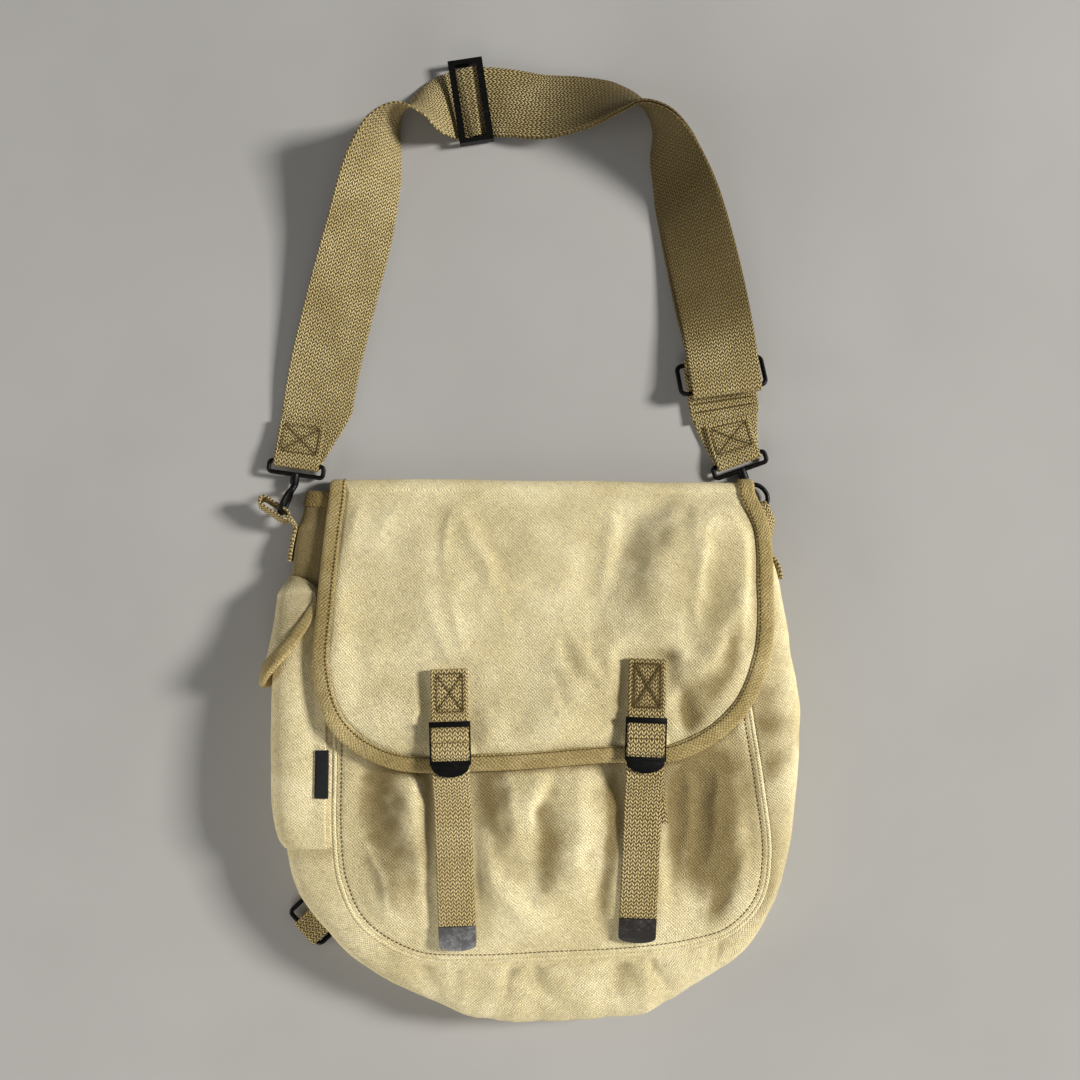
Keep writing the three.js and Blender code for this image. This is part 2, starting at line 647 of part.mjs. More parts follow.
// Side pocket, its flap and the label
function pocketOffset(section, across) {
  const s = clamp((across - POCKET_FROM) / (POCKET_TO - POCKET_FROM), 0, 1);
  const t = clamp((section - POCKET_TOP_SECTION) / (POCKET_BOTTOM_SECTION - POCKET_TOP_SECTION), 0, 1);
  const rise = lerp(0.4, 1, THREE.MathUtils.smoothstep(t, 0, 0.4));
  const close = 1 - clamp((t - 0.4) / 0.6, 0, 1) ** 5;
  return GAP + CANVAS + POCKET_FULLNESS * Math.sin(Math.PI * s) ** 1.2 * rise * close;
}

function offGusset(section, across, height) {
  return gussetPoint(section, across).addScaledVector(gussetNormal(section, across), height);
}

addPiece("side_pocket", clothWall((t, s) => {
  const section = lerp(POCKET_TOP_SECTION, POCKET_BOTTOM_SECTION, t);
  const across = lerp(POCKET_SEAM, POCKET_TO, s);
  return offGusset(section, across, pocketOffset(section, across));
}, 11, 7, CANVAS), "canvas");

function pocketFlapEnd(s) {
  const peak = POCKET_FLAP_TIP_ACROSS;
  const tip = s < peak ? s / peak : (1 - s) / (1 - peak);
  return lerp(POCKET_FLAP_SIDE, POCKET_FLAP_TIP, Math.sin(tip * Math.PI / 2));
}

function pocketFlapPoint(t, s) {
  const section = lerp(POCKET_FLAP_TOP, pocketFlapEnd(s), t);
  const across = lerp(POCKET_FLAP_FROM, POCKET_FLAP_TO, s);
  const cover = pocketOffset(section, across) + GAP + TAPE + GAP + CANVAS;
  const sewn = GAP + CANVAS;
  const lift = POCKET_FLAP_LIFT * clamp(t, 0, 1) ** 3 * Math.sin(Math.PI * s);
  const height = lerp(sewn, cover, clamp(t * 5, 0, 1)) + lift;
  return offGusset(section, across, height);
}
const POCKET_FLAP_STEPS = 9;
const POCKET_FLAP_ROWS = 6;
const POCKET_TAPE_STEPS = 7;
addPiece("pocket_flap", clothWall(pocketFlapPoint, POCKET_FLAP_ROWS, POCKET_FLAP_STEPS, CANVAS), "canvas");
const pocketGrid = Array.from({ length: POCKET_FLAP_ROWS + 1 }, (_, i) =>
  Array.from({ length: POCKET_FLAP_STEPS + 1 }, (_, j) =>
    pocketFlapPoint(i / POCKET_FLAP_ROWS, j / POCKET_FLAP_STEPS)));
function pocketBindingPlace(k) {
  const j = Math.round(k * POCKET_TAPE_STEPS);
  const line = pocketGrid.map((row) => row[j]).reverse();
  const normal = gridNormal(pocketGrid, POCKET_FLAP_ROWS, j).negate();
  return (inside) => ({ point: along(line, inside), normal });
}
addPiece("pocket_flap_binding", binding(pocketBindingPlace, POCKET_TAPE_STEPS, CANVAS), "tape");

addPiece("side_label", clothWall((t, s) => {
  const section = lerp(LABEL_FROM_SECTION, LABEL_TO_SECTION, t);
  const across = lerp(LABEL_FROM, LABEL_TO, s);
  return offGusset(section, across, pocketOffset(section, across) + GAP + LABEL_THICK);
}, 3, 2, LABEL_THICK), "label");

// Closures: tab on the flap, buckle, strap through it and metal tip
function flapEdgeY(x) {
  let lowest = 0;
  for (let i = 0; i <= 200; i++) {
    const p = flapEdgeAt(lerp(FLAP_LEFT_CORNER, FLAP_RIGHT_CORNER, i / 200));
    if (Math.abs(p.x - x) < 4) lowest = Math.min(lowest, p.y);
  }
  return lowest;
}

function frontTop(x, y) {
  return bodyHeight(x, y) + Math.max(0, foldHeight(FRONT_FOLDS, x, y));
}

function buildClosure(row) {
  const along = new Vector3(-row.lean, 1, 0).normalize();
  const across = new Vector3(along.y, -along.x, 0);
  const middle = new Vector3(row.x, row.y, 0);
  const plan = (d, w) => middle.clone().addScaledVector(along, d).addScaledVector(across, w);
  const widths = [-1, -0.5, 0, 0.5, 1].map((w) => w * NARROW_WIDTH / 2);
  const edgeY = flapEdgeY(row.x);

  const restOn = (d, height) => Math.max(...[-3, 0, 3].flatMap((near) =>
    widths.map((w) => {
      const p = plan(d + near, w);
      return height(p.x, p.y);
    })));
  const onFlap = (d) => restOn(d, flapTop);
  const onFront = (d) => restOn(d, frontTop);

  // Plane that clears the flap and its bound edge all over the buckle
  const high = onFlap(TOP_BAR_FAR);
  const low = onFlap(edgeY - row.y + TAPE_WIDTH / 2);
  const slope = (high - low) / (TOP_BAR_FAR - (edgeY - row.y + TAPE_WIDTH / 2));
  let base = -1e9;
  for (let d = edgeY - row.y - 2; d <= TOP_BAR_FAR + 2; d += 1) {
    const bound = d < edgeY - row.y + TAPE_WIDTH + 2 ? TAPE + GAP : 0;
    base = Math.max(base, onFlap(d) + bound - slope * d);
  }
  const plane = (d) => base + GAP * 0.5 + slope * d;

  const half = NARROW_WIDTH / 2;
  const strip = (points) => ribbon(points.map(({ d, z, shift = 0 }) => {
    const a = plan(d, shift - half);
    const b = plan(d, shift + half);
    a.z = z;
    b.z = z;
    return [a, b];
  }), NARROW_THICK);
  const inBuckle = (d, height) => ({ d, z: plane(d) + height });
  const turnIn = BAR_OFFSET - BAR_DEPTH / 2 - GAP * 1.5 - NARROW_THICK / 2;
  const wrap = (sign) => [
    inBuckle(sign * (turnIn + 1.6), LOWER_LAYER),
    inBuckle(sign * (turnIn + 0.5), LOWER_LAYER + 0.35),
    inBuckle(sign * turnIn, LOWER_LAYER + 1.3),
    inBuckle(sign * turnIn, OVER_BAR - 1.3),
    inBuckle(sign * (turnIn + 0.5), OVER_BAR - 0.35),
    inBuckle(sign * (turnIn + 1.6), OVER_BAR),
    inBuckle(sign * BAR_OFFSET, OVER_BAR),
    inBuckle(sign * (BAR_OFFSET + 1.9), OVER_BAR - 0.1),
  ];

  const seatZ = (d, layer) => Math.max(onFlap(d) + GAP * 0.5, d < 20 ? plane(d) : -1e9) + layer;
  const tabRun = [row.tabEnd, 40, 33, 26, 20, 16];
  addPiece(`flap_tab_${row.side}`, strip([
    ...tabRun.map((d) => ({ d, z: seatZ(d, LOWER_LAYER) })),
    inBuckle(9, LOWER_LAYER),
    ...wrap(1),
    inBuckle(8.2, UPPER_LAYER + 1.2),
    inBuckle(9.8, UPPER_LAYER + 0.1),
    inBuckle(TOP_BAR_FAR, UPPER_LAYER),
    ...[...tabRun].reverse().map((d) => ({ d, z: seatZ(d, UPPER_LAYER) })),
  ]), "webbing");

  const loadEnd = row.anchor;
  const loadZ = (d) => {
    const blend = clamp((d - (loadEnd + 12)) / (MOON_FAR - loadEnd - 12), 0, 1);
    const ease = blend * blend * (3 - 2 * blend);
    const rest = onFront(d) + GAP + NARROW_THICK / 2;
    return Math.max(rest, lerp(rest, plane(MOON_FAR) + LOWER_LAYER, ease));
  };
  const shiftAt = (d) => row.anchorShift * clamp((MOON_FAR - d) / (MOON_FAR - loadEnd), 0, 1);
  const loadRun = [0, 0.25, 0.5, 0.75].map((k) => lerp(loadEnd, MOON_FAR, k));
  const tailRun = [0.85, 0.6, 0.35, 0.1].map((k) => lerp(loadEnd, MOON_FAR, k));
  const freeRun = [0.12, 0.3, 0.5, 0.75, 1].map((k) => lerp(loadEnd, -row.tail, k));
  const tailZ = (d) => onFront(d) + GAP + NARROW_THICK / 2 + 1.9 * clamp((d - loadEnd + 16) / 14, 0, 1);
  addPiece(`closing_strap_${row.side}`, strip([
    ...loadRun.map((d) => ({ d, z: loadZ(d), shift: shiftAt(d) })),
    inBuckle(MOON_FAR, LOWER_LAYER),
    inBuckle(-12, LOWER_LAYER),
    ...wrap(-1),
    inBuckle(-9, UPPER_LAYER + 1.2),
    inBuckle(-11.6, UPPER_LAYER),
    inBuckle(MOON_FAR, UPPER_LAYER),
    ...tailRun.map((d) => ({ d, z: loadZ(d) + UPPER_LAYER - LOWER_LAYER })),
    ...freeRun.map((d) => ({ d, z: tailZ(d) })),
  ]), "webbing");

  // Metal tip, a plate with a bowed end that carries on in line with the strap
  const tipShape = new THREE.Shape();
  tipShape.moveTo(-half, 0);
  tipShape.lineTo(-half, -TIP_LENGTH + TIP_BOW);
  tipShape.quadraticCurveTo(0, -TIP_LENGTH - TIP_BOW * 0.6, half, -TIP_LENGTH + TIP_BOW);
  tipShape.lineTo(half, 0);
  tipShape.closePath();
  const tip = addPiece(`strap_tip_${row.side}`, new THREE.ExtrudeGeometry(tipShape, {
    depth: TIP_THICK, curveSegments: 8, bevelEnabled: false,
  }).translate(0, 0, -TIP_THICK / 2), "worn");
  const start = plan(-row.tail - GAP, 0);
  start.z = tailZ(-row.tail);
  const endZ = Math.max(onFront(-row.tail - TIP_LENGTH) + GAP, start.z - 7) + TIP_THICK / 2;
  const tipY = along.clone().multiplyScalar(TIP_LENGTH).add(new Vector3(0, 0, start.z - endZ)).normalize();
  const tipZ = across.clone().cross(tipY).normalize();
  tip.quaternion.setFromRotationMatrix(new Matrix4().makeBasis(across, tipY, tipZ));
  tip.position.copy(start);
  tip.position.z = Math.max(start.z, onFront(-row.tail - 4) + GAP + TIP_THICK / 2);

  // Buckle: side rails, top bar, two inner bars and a half-moon thumb plate, all one casting
  const outerHalf = BUCKLE_INNER / 2 + BUCKLE_RAIL;
  const box = (x0, x1, y0, y1, z0, z1) =>
    new THREE.BoxGeometry(x1 - x0, y1 - y0, z1 - z0).translate((x0 + x1) / 2, (y0 + y1) / 2, (z0 + z1) / 2);
  const moon = new THREE.Shape();
  moon.moveTo(-outerHalf, MOON_NEAR);
  moon.quadraticCurveTo(-outerHalf * 0.82, MOON_FAR + 1, 0, MOON_FAR);
  moon.quadraticCurveTo(outerHalf * 0.82, MOON_FAR + 1, outerHalf, MOON_NEAR);
  moon.closePath();
  const buckle = addPiece(`buckle_${row.side}`, joined(
    box(-outerHalf, -BUCKLE_INNER / 2, MOON_NEAR - 1.5, TOP_BAR_FAR, BAR_LOW, COVER_HIGH),
    box(BUCKLE_INNER / 2, outerHalf, MOON_NEAR - 1.5, TOP_BAR_FAR, BAR_LOW, COVER_HIGH),
    box(-outerHalf, outerHalf, TOP_BAR_NEAR, TOP_BAR_FAR, COVER_LOW, COVER_HIGH),
    box(-outerHalf, outerHalf, BAR_OFFSET - BAR_DEPTH / 2, BAR_OFFSET + BAR_DEPTH / 2, BAR_LOW, BAR_HIGH),
    box(-outerHalf, outerHalf, -BAR_OFFSET - BAR_DEPTH / 2, -BAR_OFFSET + BAR_DEPTH / 2, BAR_LOW, BAR_HIGH),
    new THREE.ExtrudeGeometry(moon, {
      depth: COVER_HIGH - COVER_LOW, curveSegments: 7, bevelEnabled: false,
    }).translate(0, 0, COVER_LOW),
  ), "black");
  const pitch = new Vector3().copy(along).add(new Vector3(0, 0, slope)).normalize();
  buckle.quaternion.setFromRotationMatrix(
    new Matrix4().makeBasis(across, pitch, across.clone().cross(pitch).normalize()));
  buckle.position.copy(middle);
  buckle.position.z = plane(0);
}
CLOSURES.forEach(buildClosure);

// Shoulder strap
const strapLast = STRAP_STATIONS.length - 1;
const strapLine = new THREE.CatmullRomCurve3(STRAP_STATIONS.map((s) => new Vector3(s.x, s.y, 0)));
const strapTurn = new THREE.CatmullRomCurve3(STRAP_STATIONS.map((s) => new Vector3(s.tilt, s.lift, 0)));

function strapFrame(station) {
  const u = clamp(station / strapLast, 0, 1);
  const centre = strapLine.getPoint(u);
  const ahead = strapLine.getPoint(Math.min(u + 0.004, 1));
  const run = ahead.sub(strapLine.getPoint(Math.max(u - 0.004, 0))).normalize();
  const turn = strapTurn.getPoint(u);
  const tilt = THREE.MathUtils.degToRad(turn.x);
  const out = UP.clone().cross(run);
  const width = out.multiplyScalar(Math.cos(tilt)).addScaledVector(UP, Math.sin(tilt)).normalize();
  const normal = run.clone().cross(width).normalize();
  const stand = STRAP_WIDTH / 2 * Math.abs(Math.sin(tilt)) + STRAP_THICK / 2 * Math.abs(Math.cos(tilt));
  const doubled = clamp((station - SLIDER_STATION) / 0.5, 0, 1);
  const layerUnder = doubled * (STRAP_THICK + LAYER_GAP) * Math.max(0, -Math.cos(tilt));
  centre.z = stand + 0.2 + turn.y + layerUnder;
  return { centre, run, width, normal };
}

function strapPair(frame, offset, from, to) {
  const middle = frame.centre.clone().addScaledVector(frame.normal, offset);
  return [from, to].map((w) => middle.clone().addScaledVector(frame.width, w));
}

const half = STRAP_WIDTH / 2;
const innerEdge = (station) => -lerp(END_WIDTH - half, half, clamp(station / TAPER_STATION, 0, 1));
const steps = (from, to, count) => Array.from({ length: count + 1 }, (_, i) => lerp(from, to, i / count));
const endLayer = 2 * WRAP_RADIUS;
const closeLayer = STRAP_THICK + LAYER_GAP;

function wrapTurn(frame, outward, from, to, fromAngle, toAngle) {
  return steps(fromAngle, toAngle, 6).map((angle) => {
    const reach = outward * WRAP_RADIUS * Math.sin(angle);
    const centre = frame.centre.clone().addScaledVector(frame.run, reach);
    return strapPair({ ...frame, centre }, WRAP_RADIUS * (1 - Math.cos(angle)), from, to);
  });
}

const patchStation = PATCH_LENGTH / strapLine.getPoint(0).distanceTo(strapLine.getPoint(1 / strapLast));
const startFrame = strapFrame(0);
const ringFrame = strapFrame(strapLast);
const strapPairs = [
  ...steps(patchStation, 0.12, 5).map((k) => {
    const layer = lerp(closeLayer, endLayer, clamp(1.2 - k / patchStation, 0, 1) ** 2);
    return strapPair(strapFrame(k), layer, half - END_WIDTH, half);
  }),
  ...wrapTurn(startFrame, -1, half - END_WIDTH, half, Math.PI, 0),
  ...steps(0.15, SLIDER_STATION - 1.7, 25).map((k) => strapPair(strapFrame(k), 0, innerEdge(k), half)),
  ...steps(SLIDER_STATION - 1.4, SLIDER_STATION + 1.2, 12).map((k) =>
    strapPair(strapFrame(k), 0, -half, half)),
  ...steps(SLIDER_STATION + 1.5, strapLast - 0.12, 25).map((k) =>
    strapPair(strapFrame(k), 0, -half, half)),
  ...wrapTurn(ringFrame, 1, -half, half, 0, Math.PI),
  ...steps(strapLast - 0.12, SLIDER_STATION + 0.75, 25).map((k) => strapPair(
    strapFrame(k), lerp(closeLayer, endLayer, clamp((k - strapLast + 1.6) / 1.4, 0, 1) ** 2), -half, half)),
];
addPiece("shoulder_strap", ribbon(strapPairs, STRAP_THICK), "webbing");

// Slider: side bars over the webbing, lower middle bar under it
const slideFrame = strapFrame(SLIDER_STATION);
const slider = new THREE.Group();
const sliderX = slideFrame.run.clone();
const sliderY = UP.clone().cross(sliderX);
slider.quaternion.setFromRotationMatrix(new Matrix4().makeBasis(sliderX, sliderY, UP));
slider.position.set(slideFrame.centre.x, slideFrame.centre.y, 0);
bag.add(slider);
const bar = (x, length, width, z0, z1) =>
  new THREE.BoxGeometry(width, length, z1 - z0).translate(x, 0, (z0 + z1) / 2);
const sideX = (SLIDER_DEPTH - SLIDER_SIDE_BAR) / 2;
const endY = (SLIDER_LENGTH - SLIDER_END_BAR) / 2;
const endBar = (y) =>
  new THREE.BoxGeometry(SLIDER_DEPTH, SLIDER_END_BAR, SLIDER_TOP - SLIDER_BASE)
    .translate(0, y, (SLIDER_TOP + SLIDER_BASE) / 2);
addPiece("strap_slider", joined(
  bar(-sideX, SLIDER_LENGTH, SLIDER_SIDE_BAR, SLIDER_BAR_LOW, SLIDER_TOP),
  bar(sideX, SLIDER_LENGTH, SLIDER_SIDE_BAR, SLIDER_BAR_LOW, SLIDER_TOP),
  bar(0, SLIDER_LENGTH, SLIDER_CENTRE_BAR, SLIDER_BASE, SLIDER_BASE + 1.4),
  endBar(endY),
  endBar(-endY),
), "black", slider);

// Ring turned back under the strap; the right hook tab holds its other bar
const wrapCentre = ringFrame.centre.clone().addScaledVector(ringFrame.normal, WRAP_RADIUS);
const RING_FAR_HEIGHT = STRAP_THICK + GAP + WIRE_RADIUS + 0.3;
const ringBars = RING_DEPTH - 2 * WIRE_RADIUS;
const drop = wrapCentre.z - RING_FAR_HEIGHT;
const ringBack = ringFrame.run.clone().setZ(0).normalize().negate();
const ringY = ringBack.clone().multiplyScalar(Math.sqrt(ringBars ** 2 - drop ** 2)).setZ(-drop).normalize();
const ringX = UP.clone().cross(ringBack).negate().normalize();
const ringPlane = new Matrix4().makeBasis(ringX, ringY, ringX.clone().cross(ringY).normalize());
const ring = addPiece(
  "strap_ring", closedWire(RING_WIDTH, RING_DEPTH, RING_CORNER, WIRE_RADIUS, 22), "black");
ring.quaternion.setFromRotationMatrix(ringPlane);
ring.position.copy(wrapCentre).addScaledVector(ringY, ringBars / 2).addScaledVector(ringX, -RING_SHIFT);

// Snap bail with swivel barrel, and the closed snap hook below it
const bailBarGap = BAIL_DEPTH - 2 * WIRE_RADIUS;
const barrelEnd = -bailBarGap - BARREL_LENGTH + 1;
const bailGeometry = joined(
  closedWire(BAIL_WIDTH, BAIL_DEPTH, BAIL_CORNER, WIRE_RADIUS, 18).translate(0, -bailBarGap / 2, 0),
  new THREE.CylinderGeometry(BARREL_RADIUS, BARREL_RADIUS, BARREL_LENGTH, 8)
    .translate(0, barrelEnd + BARREL_LENGTH / 2, 0),
);
const eyeSide = (sign, rows) =>
  rows.map((r) => new Vector3(sign * r.across, 1 - COLLAR_LENGTH - r.down, 0));
const eyePath = new THREE.CatmullRomCurve3([
  ...eyeSide(1, EYE_OUTLINE.slice(0, -1)),
  ...eyeSide(-1, EYE_OUTLINE.slice(1).reverse()),
], true, "centripetal");
const hookGeometry = joined(
  new THREE.CylinderGeometry(BARREL_RADIUS * 0.8, BARREL_RADIUS * 0.65, COLLAR_LENGTH, 8)
    .translate(0, -COLLAR_LENGTH / 2, 0),
  new THREE.TubeGeometry(eyePath, 18, WIRE_RADIUS, WIRE_SIDES, true),
);
const eyeBottom = 1 - COLLAR_LENGTH - EYE_OUTLINE[EYE_OUTLINE.length - 1].down;

// Webbing loop round the far end of a hook, run down to a spot on the gusset
function sideLoop(side, hold, holdWidth, towards, seat, seatWidth) {
  const hole = WIRE_RADIUS + 1.7 * GAP;
  const { beyond, before } = LOOP_SLIT[side];
  const slot = (path, radius) => {
    path.absarc(before, 0, radius, -Math.PI / 2, Math.PI / 2, false);
    path.absarc(-beyond, 0, radius, Math.PI / 2, 1.5 * Math.PI, false);
    path.closePath();
    return path;
  };
  const eye = slot(new THREE.Shape(), hole + LOOP_THICK);
  eye.holes.push(slot(new THREE.Path(), hole));
  const ringPiece = new THREE.ExtrudeGeometry(eye, {
    depth: LOOP_WIDTH, curveSegments: 4, bevelEnabled: false,
  }).translate(0, 0, -LOOP_WIDTH / 2);
  const thin = holdWidth.clone().cross(towards).normalize();
  ringPiece.applyMatrix4(new Matrix4().makeBasis(towards, thin, holdWidth).setPosition(hold));
  const start = hold.clone().addScaledVector(towards, before + hole + LOOP_THICK * 0.3);
  const length = start.distanceTo(seat[0]);
  const path = new THREE.CatmullRomCurve3([
    start, start.clone().addScaledVector(towards, length * 0.3), ...seat]);
  const pairs = steps(0, 1, 12).map((k) => {
    const middle = path.getPoint(k);
    const width = holdWidth.clone().lerp(seatWidth, clamp(k * 1.6, 0, 1));
    width.normalize().multiplyScalar(LOOP_WIDTH / 2);
    return [middle.clone().sub(width), middle.clone().add(width)];
  });
  addPiece(`side_loop_${side}`, joined(ringPiece, ribbon(pairs, LOOP_THICK * 1.7)), "webbing");
}

function placeHook(side, barCentre, bailX, bailY, shaft, eyeAcross) {
  const bail = addPiece(`snap_bail_${side}`, bailGeometry.clone(), "black");
  const bailZ = bailX.clone().cross(bailY).normalize();
  bail.quaternion.setFromRotationMatrix(new Matrix4().makeBasis(bailX, bailY, bailZ));
  bail.position.copy(barCentre);
  const hook = addPiece(`snap_hook_${side}`, hookGeometry.clone(), "black");
  const hookY = shaft.clone().negate();
  const across = eyeAcross.clone().addScaledVector(hookY, -eyeAcross.dot(hookY)).normalize();
  hook.quaternion.setFromRotationMatrix(
    new Matrix4().makeBasis(across, hookY, across.clone().cross(hookY).normalize()));
  hook.position.copy(barCentre).addScaledVector(bailY, barrelEnd - SWIVEL_GAP);
  return { across, eye: hook.position.clone().addScaledVector(hookY, eyeBottom) };
}

// Left hook: on edge, tipped up off the floor, its loop on the left gusset
const leftBar = startFrame.centre.clone().addScaledVector(startFrame.normal, WRAP_RADIUS)
  .addScaledVector(startFrame.width, half - END_WIDTH / 2);
const LEFT_SHAFT = new Vector3(-0.36, -0.84, 0.41).normalize();
const leftHook = placeHook(
  "left", leftBar, startFrame.width.clone().negate(), startFrame.run.clone(), LEFT_SHAFT, UP);
const LOOP_STAND = LOOP_THICK * 0.85 + GAP + 0.5;
const leftSeat = [0.72, 1, 1.35].map((section) => {
  const p = gussetPoint(section, 0.5).addScaledVector(seamFrame(section).out, LOOP_STAND);
  p.z = Math.max(p.z, LOOP_WIDTH / 2 + 1);
  return p;
});
const leftTo = leftSeat[0].clone().sub(leftHook.eye);
leftTo.addScaledVector(leftHook.across, -leftTo.dot(leftHook.across)).normalize();
sideLoop("left", leftHook.eye, leftHook.across, leftTo, leftSeat, UP.clone());

// Right hook: flat under the flap corner, its loop on the right gusset
const tabRun = ringFrame.run.clone().setZ(0).normalize();
const ringFarBar = ring.position.clone().addScaledVector(ringY, ringBars / 2);
const tabStart = ringFarBar.clone().setZ(RING_FAR_HEIGHT - WRAP_RADIUS);
const tabHeading = (d) => TAB_BEND * clamp((d - TAB_BEND_FROM) / (TAB_LENGTH - TAB_BEND_FROM), 0, 1);
function tabFrame(d) {
  const centre = tabStart.clone();
  const pieces = 40;
  for (let i = 0; i < pieces; i++) {
    const heading = tabHeading((i + 0.5) * d / pieces);
    centre.addScaledVector(tabRun.clone().applyAxisAngle(UP, heading), d / pieces);
  }
  const run = tabRun.clone().applyAxisAngle(UP, tabHeading(d));
  return { centre, run, width: UP.clone().cross(run), normal: UP.clone() };
}
const TAB_TAPER_FROM = 34;
const tabTaper = (d) => clamp((d - TAB_TAPER_FROM) / (TAB_LENGTH - TAB_TAPER_FROM), 0, 1);
const tabEdge = (d) => lerp(half, END_WIDTH / 2, tabTaper(d));
const TAB_SEWN_LENGTH = 39.5;
const tabLayer = (d, end) => lerp(endLayer, closeLayer, clamp(Math.abs(d - end) / 13, 0, 1));
const tabPairs = [
  ...steps(TAB_SEWN_LENGTH, 1, 6).map((d) =>
    strapPair(tabFrame(d), tabLayer(d, 0), -tabEdge(d), tabEdge(d))),
  ...wrapTurn(tabFrame(0), -1, -half, half, Math.PI, 0),
  ...steps(4, TAB_LENGTH - 1, 8).map((d) => strapPair(tabFrame(d), 0, -tabEdge(d), tabEdge(d))),
  ...wrapTurn(tabFrame(TAB_LENGTH), 1, -END_WIDTH / 2, END_WIDTH / 2, 0, Math.PI),
  ...steps(TAB_LENGTH - 1, TAB_SEWN_LENGTH + 3, 6).map((d) => strapPair(
    tabFrame(d), tabLayer(d, TAB_LENGTH), -END_WIDTH / 2, END_WIDTH / 2)),
];
addPiece("hook_tab_right", ribbon(tabPairs, STRAP_THICK), "webbing");

const tabEnd = tabFrame(TAB_LENGTH);
const rightBar = tabEnd.centre.clone().addScaledVector(UP, WRAP_RADIUS);
const RIGHT_SHAFT = new Vector3(0.5, -0.866, 0).normalize();
const rightHook = placeHook(
  "right", rightBar, tabEnd.width.clone().negate(), tabEnd.run.clone().negate(), RIGHT_SHAFT,
  RIGHT_SHAFT.clone().cross(UP));
const rightSeat = [lastSection - 1.75, lastSection - 2, lastSection - 2.2].map((section) => {
  const p = gussetPoint(section, 0.5).addScaledVector(seamFrame(section).out, LOOP_STAND);
  p.z = Math.max(p.z, LOOP_WIDTH / 2 + 0.6);
  return p;
});
const rightTo = rightSeat[0].clone().sub(rightHook.eye);
rightTo.addScaledVector(rightHook.across, -rightTo.dot(rightHook.across)).setZ(0).normalize();
sideLoop("right", rightHook.eye, rightHook.across, rightTo, rightSeat, UP.clone());

// Tab at the lower left corner, flat on the floor, its ring turned back under it
const TAB_SECTION = 6.55;
const BACK_TAB_START = 7.4;
const tabCorner = seamFrame(TAB_SECTION);
const backOut = new Vector3(Math.cos(BACK_TAB_ANGLE), Math.sin(BACK_TAB_ANGLE), 0);
const backSide = UP.clone().cross(backOut);
const backStart = tabCorner.point.clone()
  .addScaledVector(tabCorner.out, tabCorner.bulge - tabCorner.tuck + BACK_TAB_START);
const backTurn = WIRE_RADIUS + GAP + NARROW_THICK / 2;
const backBase = NARROW_THICK / 2 + 0.1;
const backTop = backBase + 2 * backTurn;
const overRing = 2 * WIRE_RADIUS + GAP + 0.1;
const backHump = (d) => overRing * Math.sin(Math.PI * clamp(d / BACK_TAB_HUMP, 0, 1));
const backHalf = BACK_TAB_WIDTH / 2;
const backPair = (d, z) => {
  const middle = backStart.clone().addScaledVector(backOut, d).setZ(z);
  const reach = backSide.clone().multiplyScalar(backHalf);
  return [middle.clone().sub(reach), middle.clone().add(reach)];
};
addPiece("back_tab", ribbon([
  ...steps(0, 28, 7).map((d) => backPair(d, backBase + backHump(d))),
  ...steps(0, Math.PI, 6).map((angle) =>
    backPair(BACK_TAB_LENGTH + backTurn * Math.sin(angle), backBase + backTurn * (1 - Math.cos(angle)))),
  backPair(24, backTop + 0.1),
  backPair(14, backTop + 0.1),
], NARROW_THICK), "webbing");
const backRing = addPiece(
  "back_ring", closedWire(BACK_RING_WIDTH, BACK_RING_DEPTH, 3, WIRE_RADIUS, 18), "black");
const backBars = BACK_RING_DEPTH - 2 * WIRE_RADIUS;
const backDrop = backTurn + backBase - WIRE_RADIUS - 0.1;
const backReach = Math.sqrt(backBars ** 2 - backDrop ** 2);
const backRingY = backOut.clone().multiplyScalar(-backReach).setZ(-backDrop).normalize();
backRing.quaternion.setFromRotationMatrix(
  new Matrix4().makeBasis(backSide, backRingY, backSide.clone().cross(backRingY).normalize()));
backRing.position.copy(backStart).addScaledVector(backOut, BACK_TAB_LENGTH).setZ(backBase + backTurn)
  .addScaledVector(backRingY, backBars / 2).addScaledVector(backSide, BACK_RING_SHIFT);

// Origin at the middle of the footprint, on the floor
bag.updateMatrixWorld(true);
const bounds = new THREE.Box3().setFromObject(bag, true);
bag.position.set(-(bounds.min.x + bounds.max.x) / 2, -(bounds.min.y + bounds.max.y) / 2, -bounds.min.z);

export default bag;
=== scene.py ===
import math
from collections import namedtuple

import bmesh
import bpy
import numpy as np
from mathutils import Matrix, Vector


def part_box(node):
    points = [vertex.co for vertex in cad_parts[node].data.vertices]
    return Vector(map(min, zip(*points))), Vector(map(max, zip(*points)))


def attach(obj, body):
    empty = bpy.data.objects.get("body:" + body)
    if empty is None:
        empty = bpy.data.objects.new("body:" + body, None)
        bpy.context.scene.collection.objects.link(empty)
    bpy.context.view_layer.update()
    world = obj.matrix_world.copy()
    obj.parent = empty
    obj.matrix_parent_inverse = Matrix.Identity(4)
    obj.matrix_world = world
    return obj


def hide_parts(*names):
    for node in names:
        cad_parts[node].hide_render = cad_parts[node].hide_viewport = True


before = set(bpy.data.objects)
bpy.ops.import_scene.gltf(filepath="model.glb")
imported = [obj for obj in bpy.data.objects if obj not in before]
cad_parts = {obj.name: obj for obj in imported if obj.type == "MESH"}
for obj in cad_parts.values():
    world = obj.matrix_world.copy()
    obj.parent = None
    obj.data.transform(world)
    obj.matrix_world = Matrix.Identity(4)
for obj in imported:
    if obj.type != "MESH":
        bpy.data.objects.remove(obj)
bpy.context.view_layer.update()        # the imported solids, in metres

# Sizes are millimetres in the bag's own drawing frame; on_part turns them into metres on the part
MM = 0.001
SLIDER_PLACE = (-48, 304.7)
slider_low, slider_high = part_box("strap_slider")
slider_middle = (slider_low + slider_high) / 2 / MM
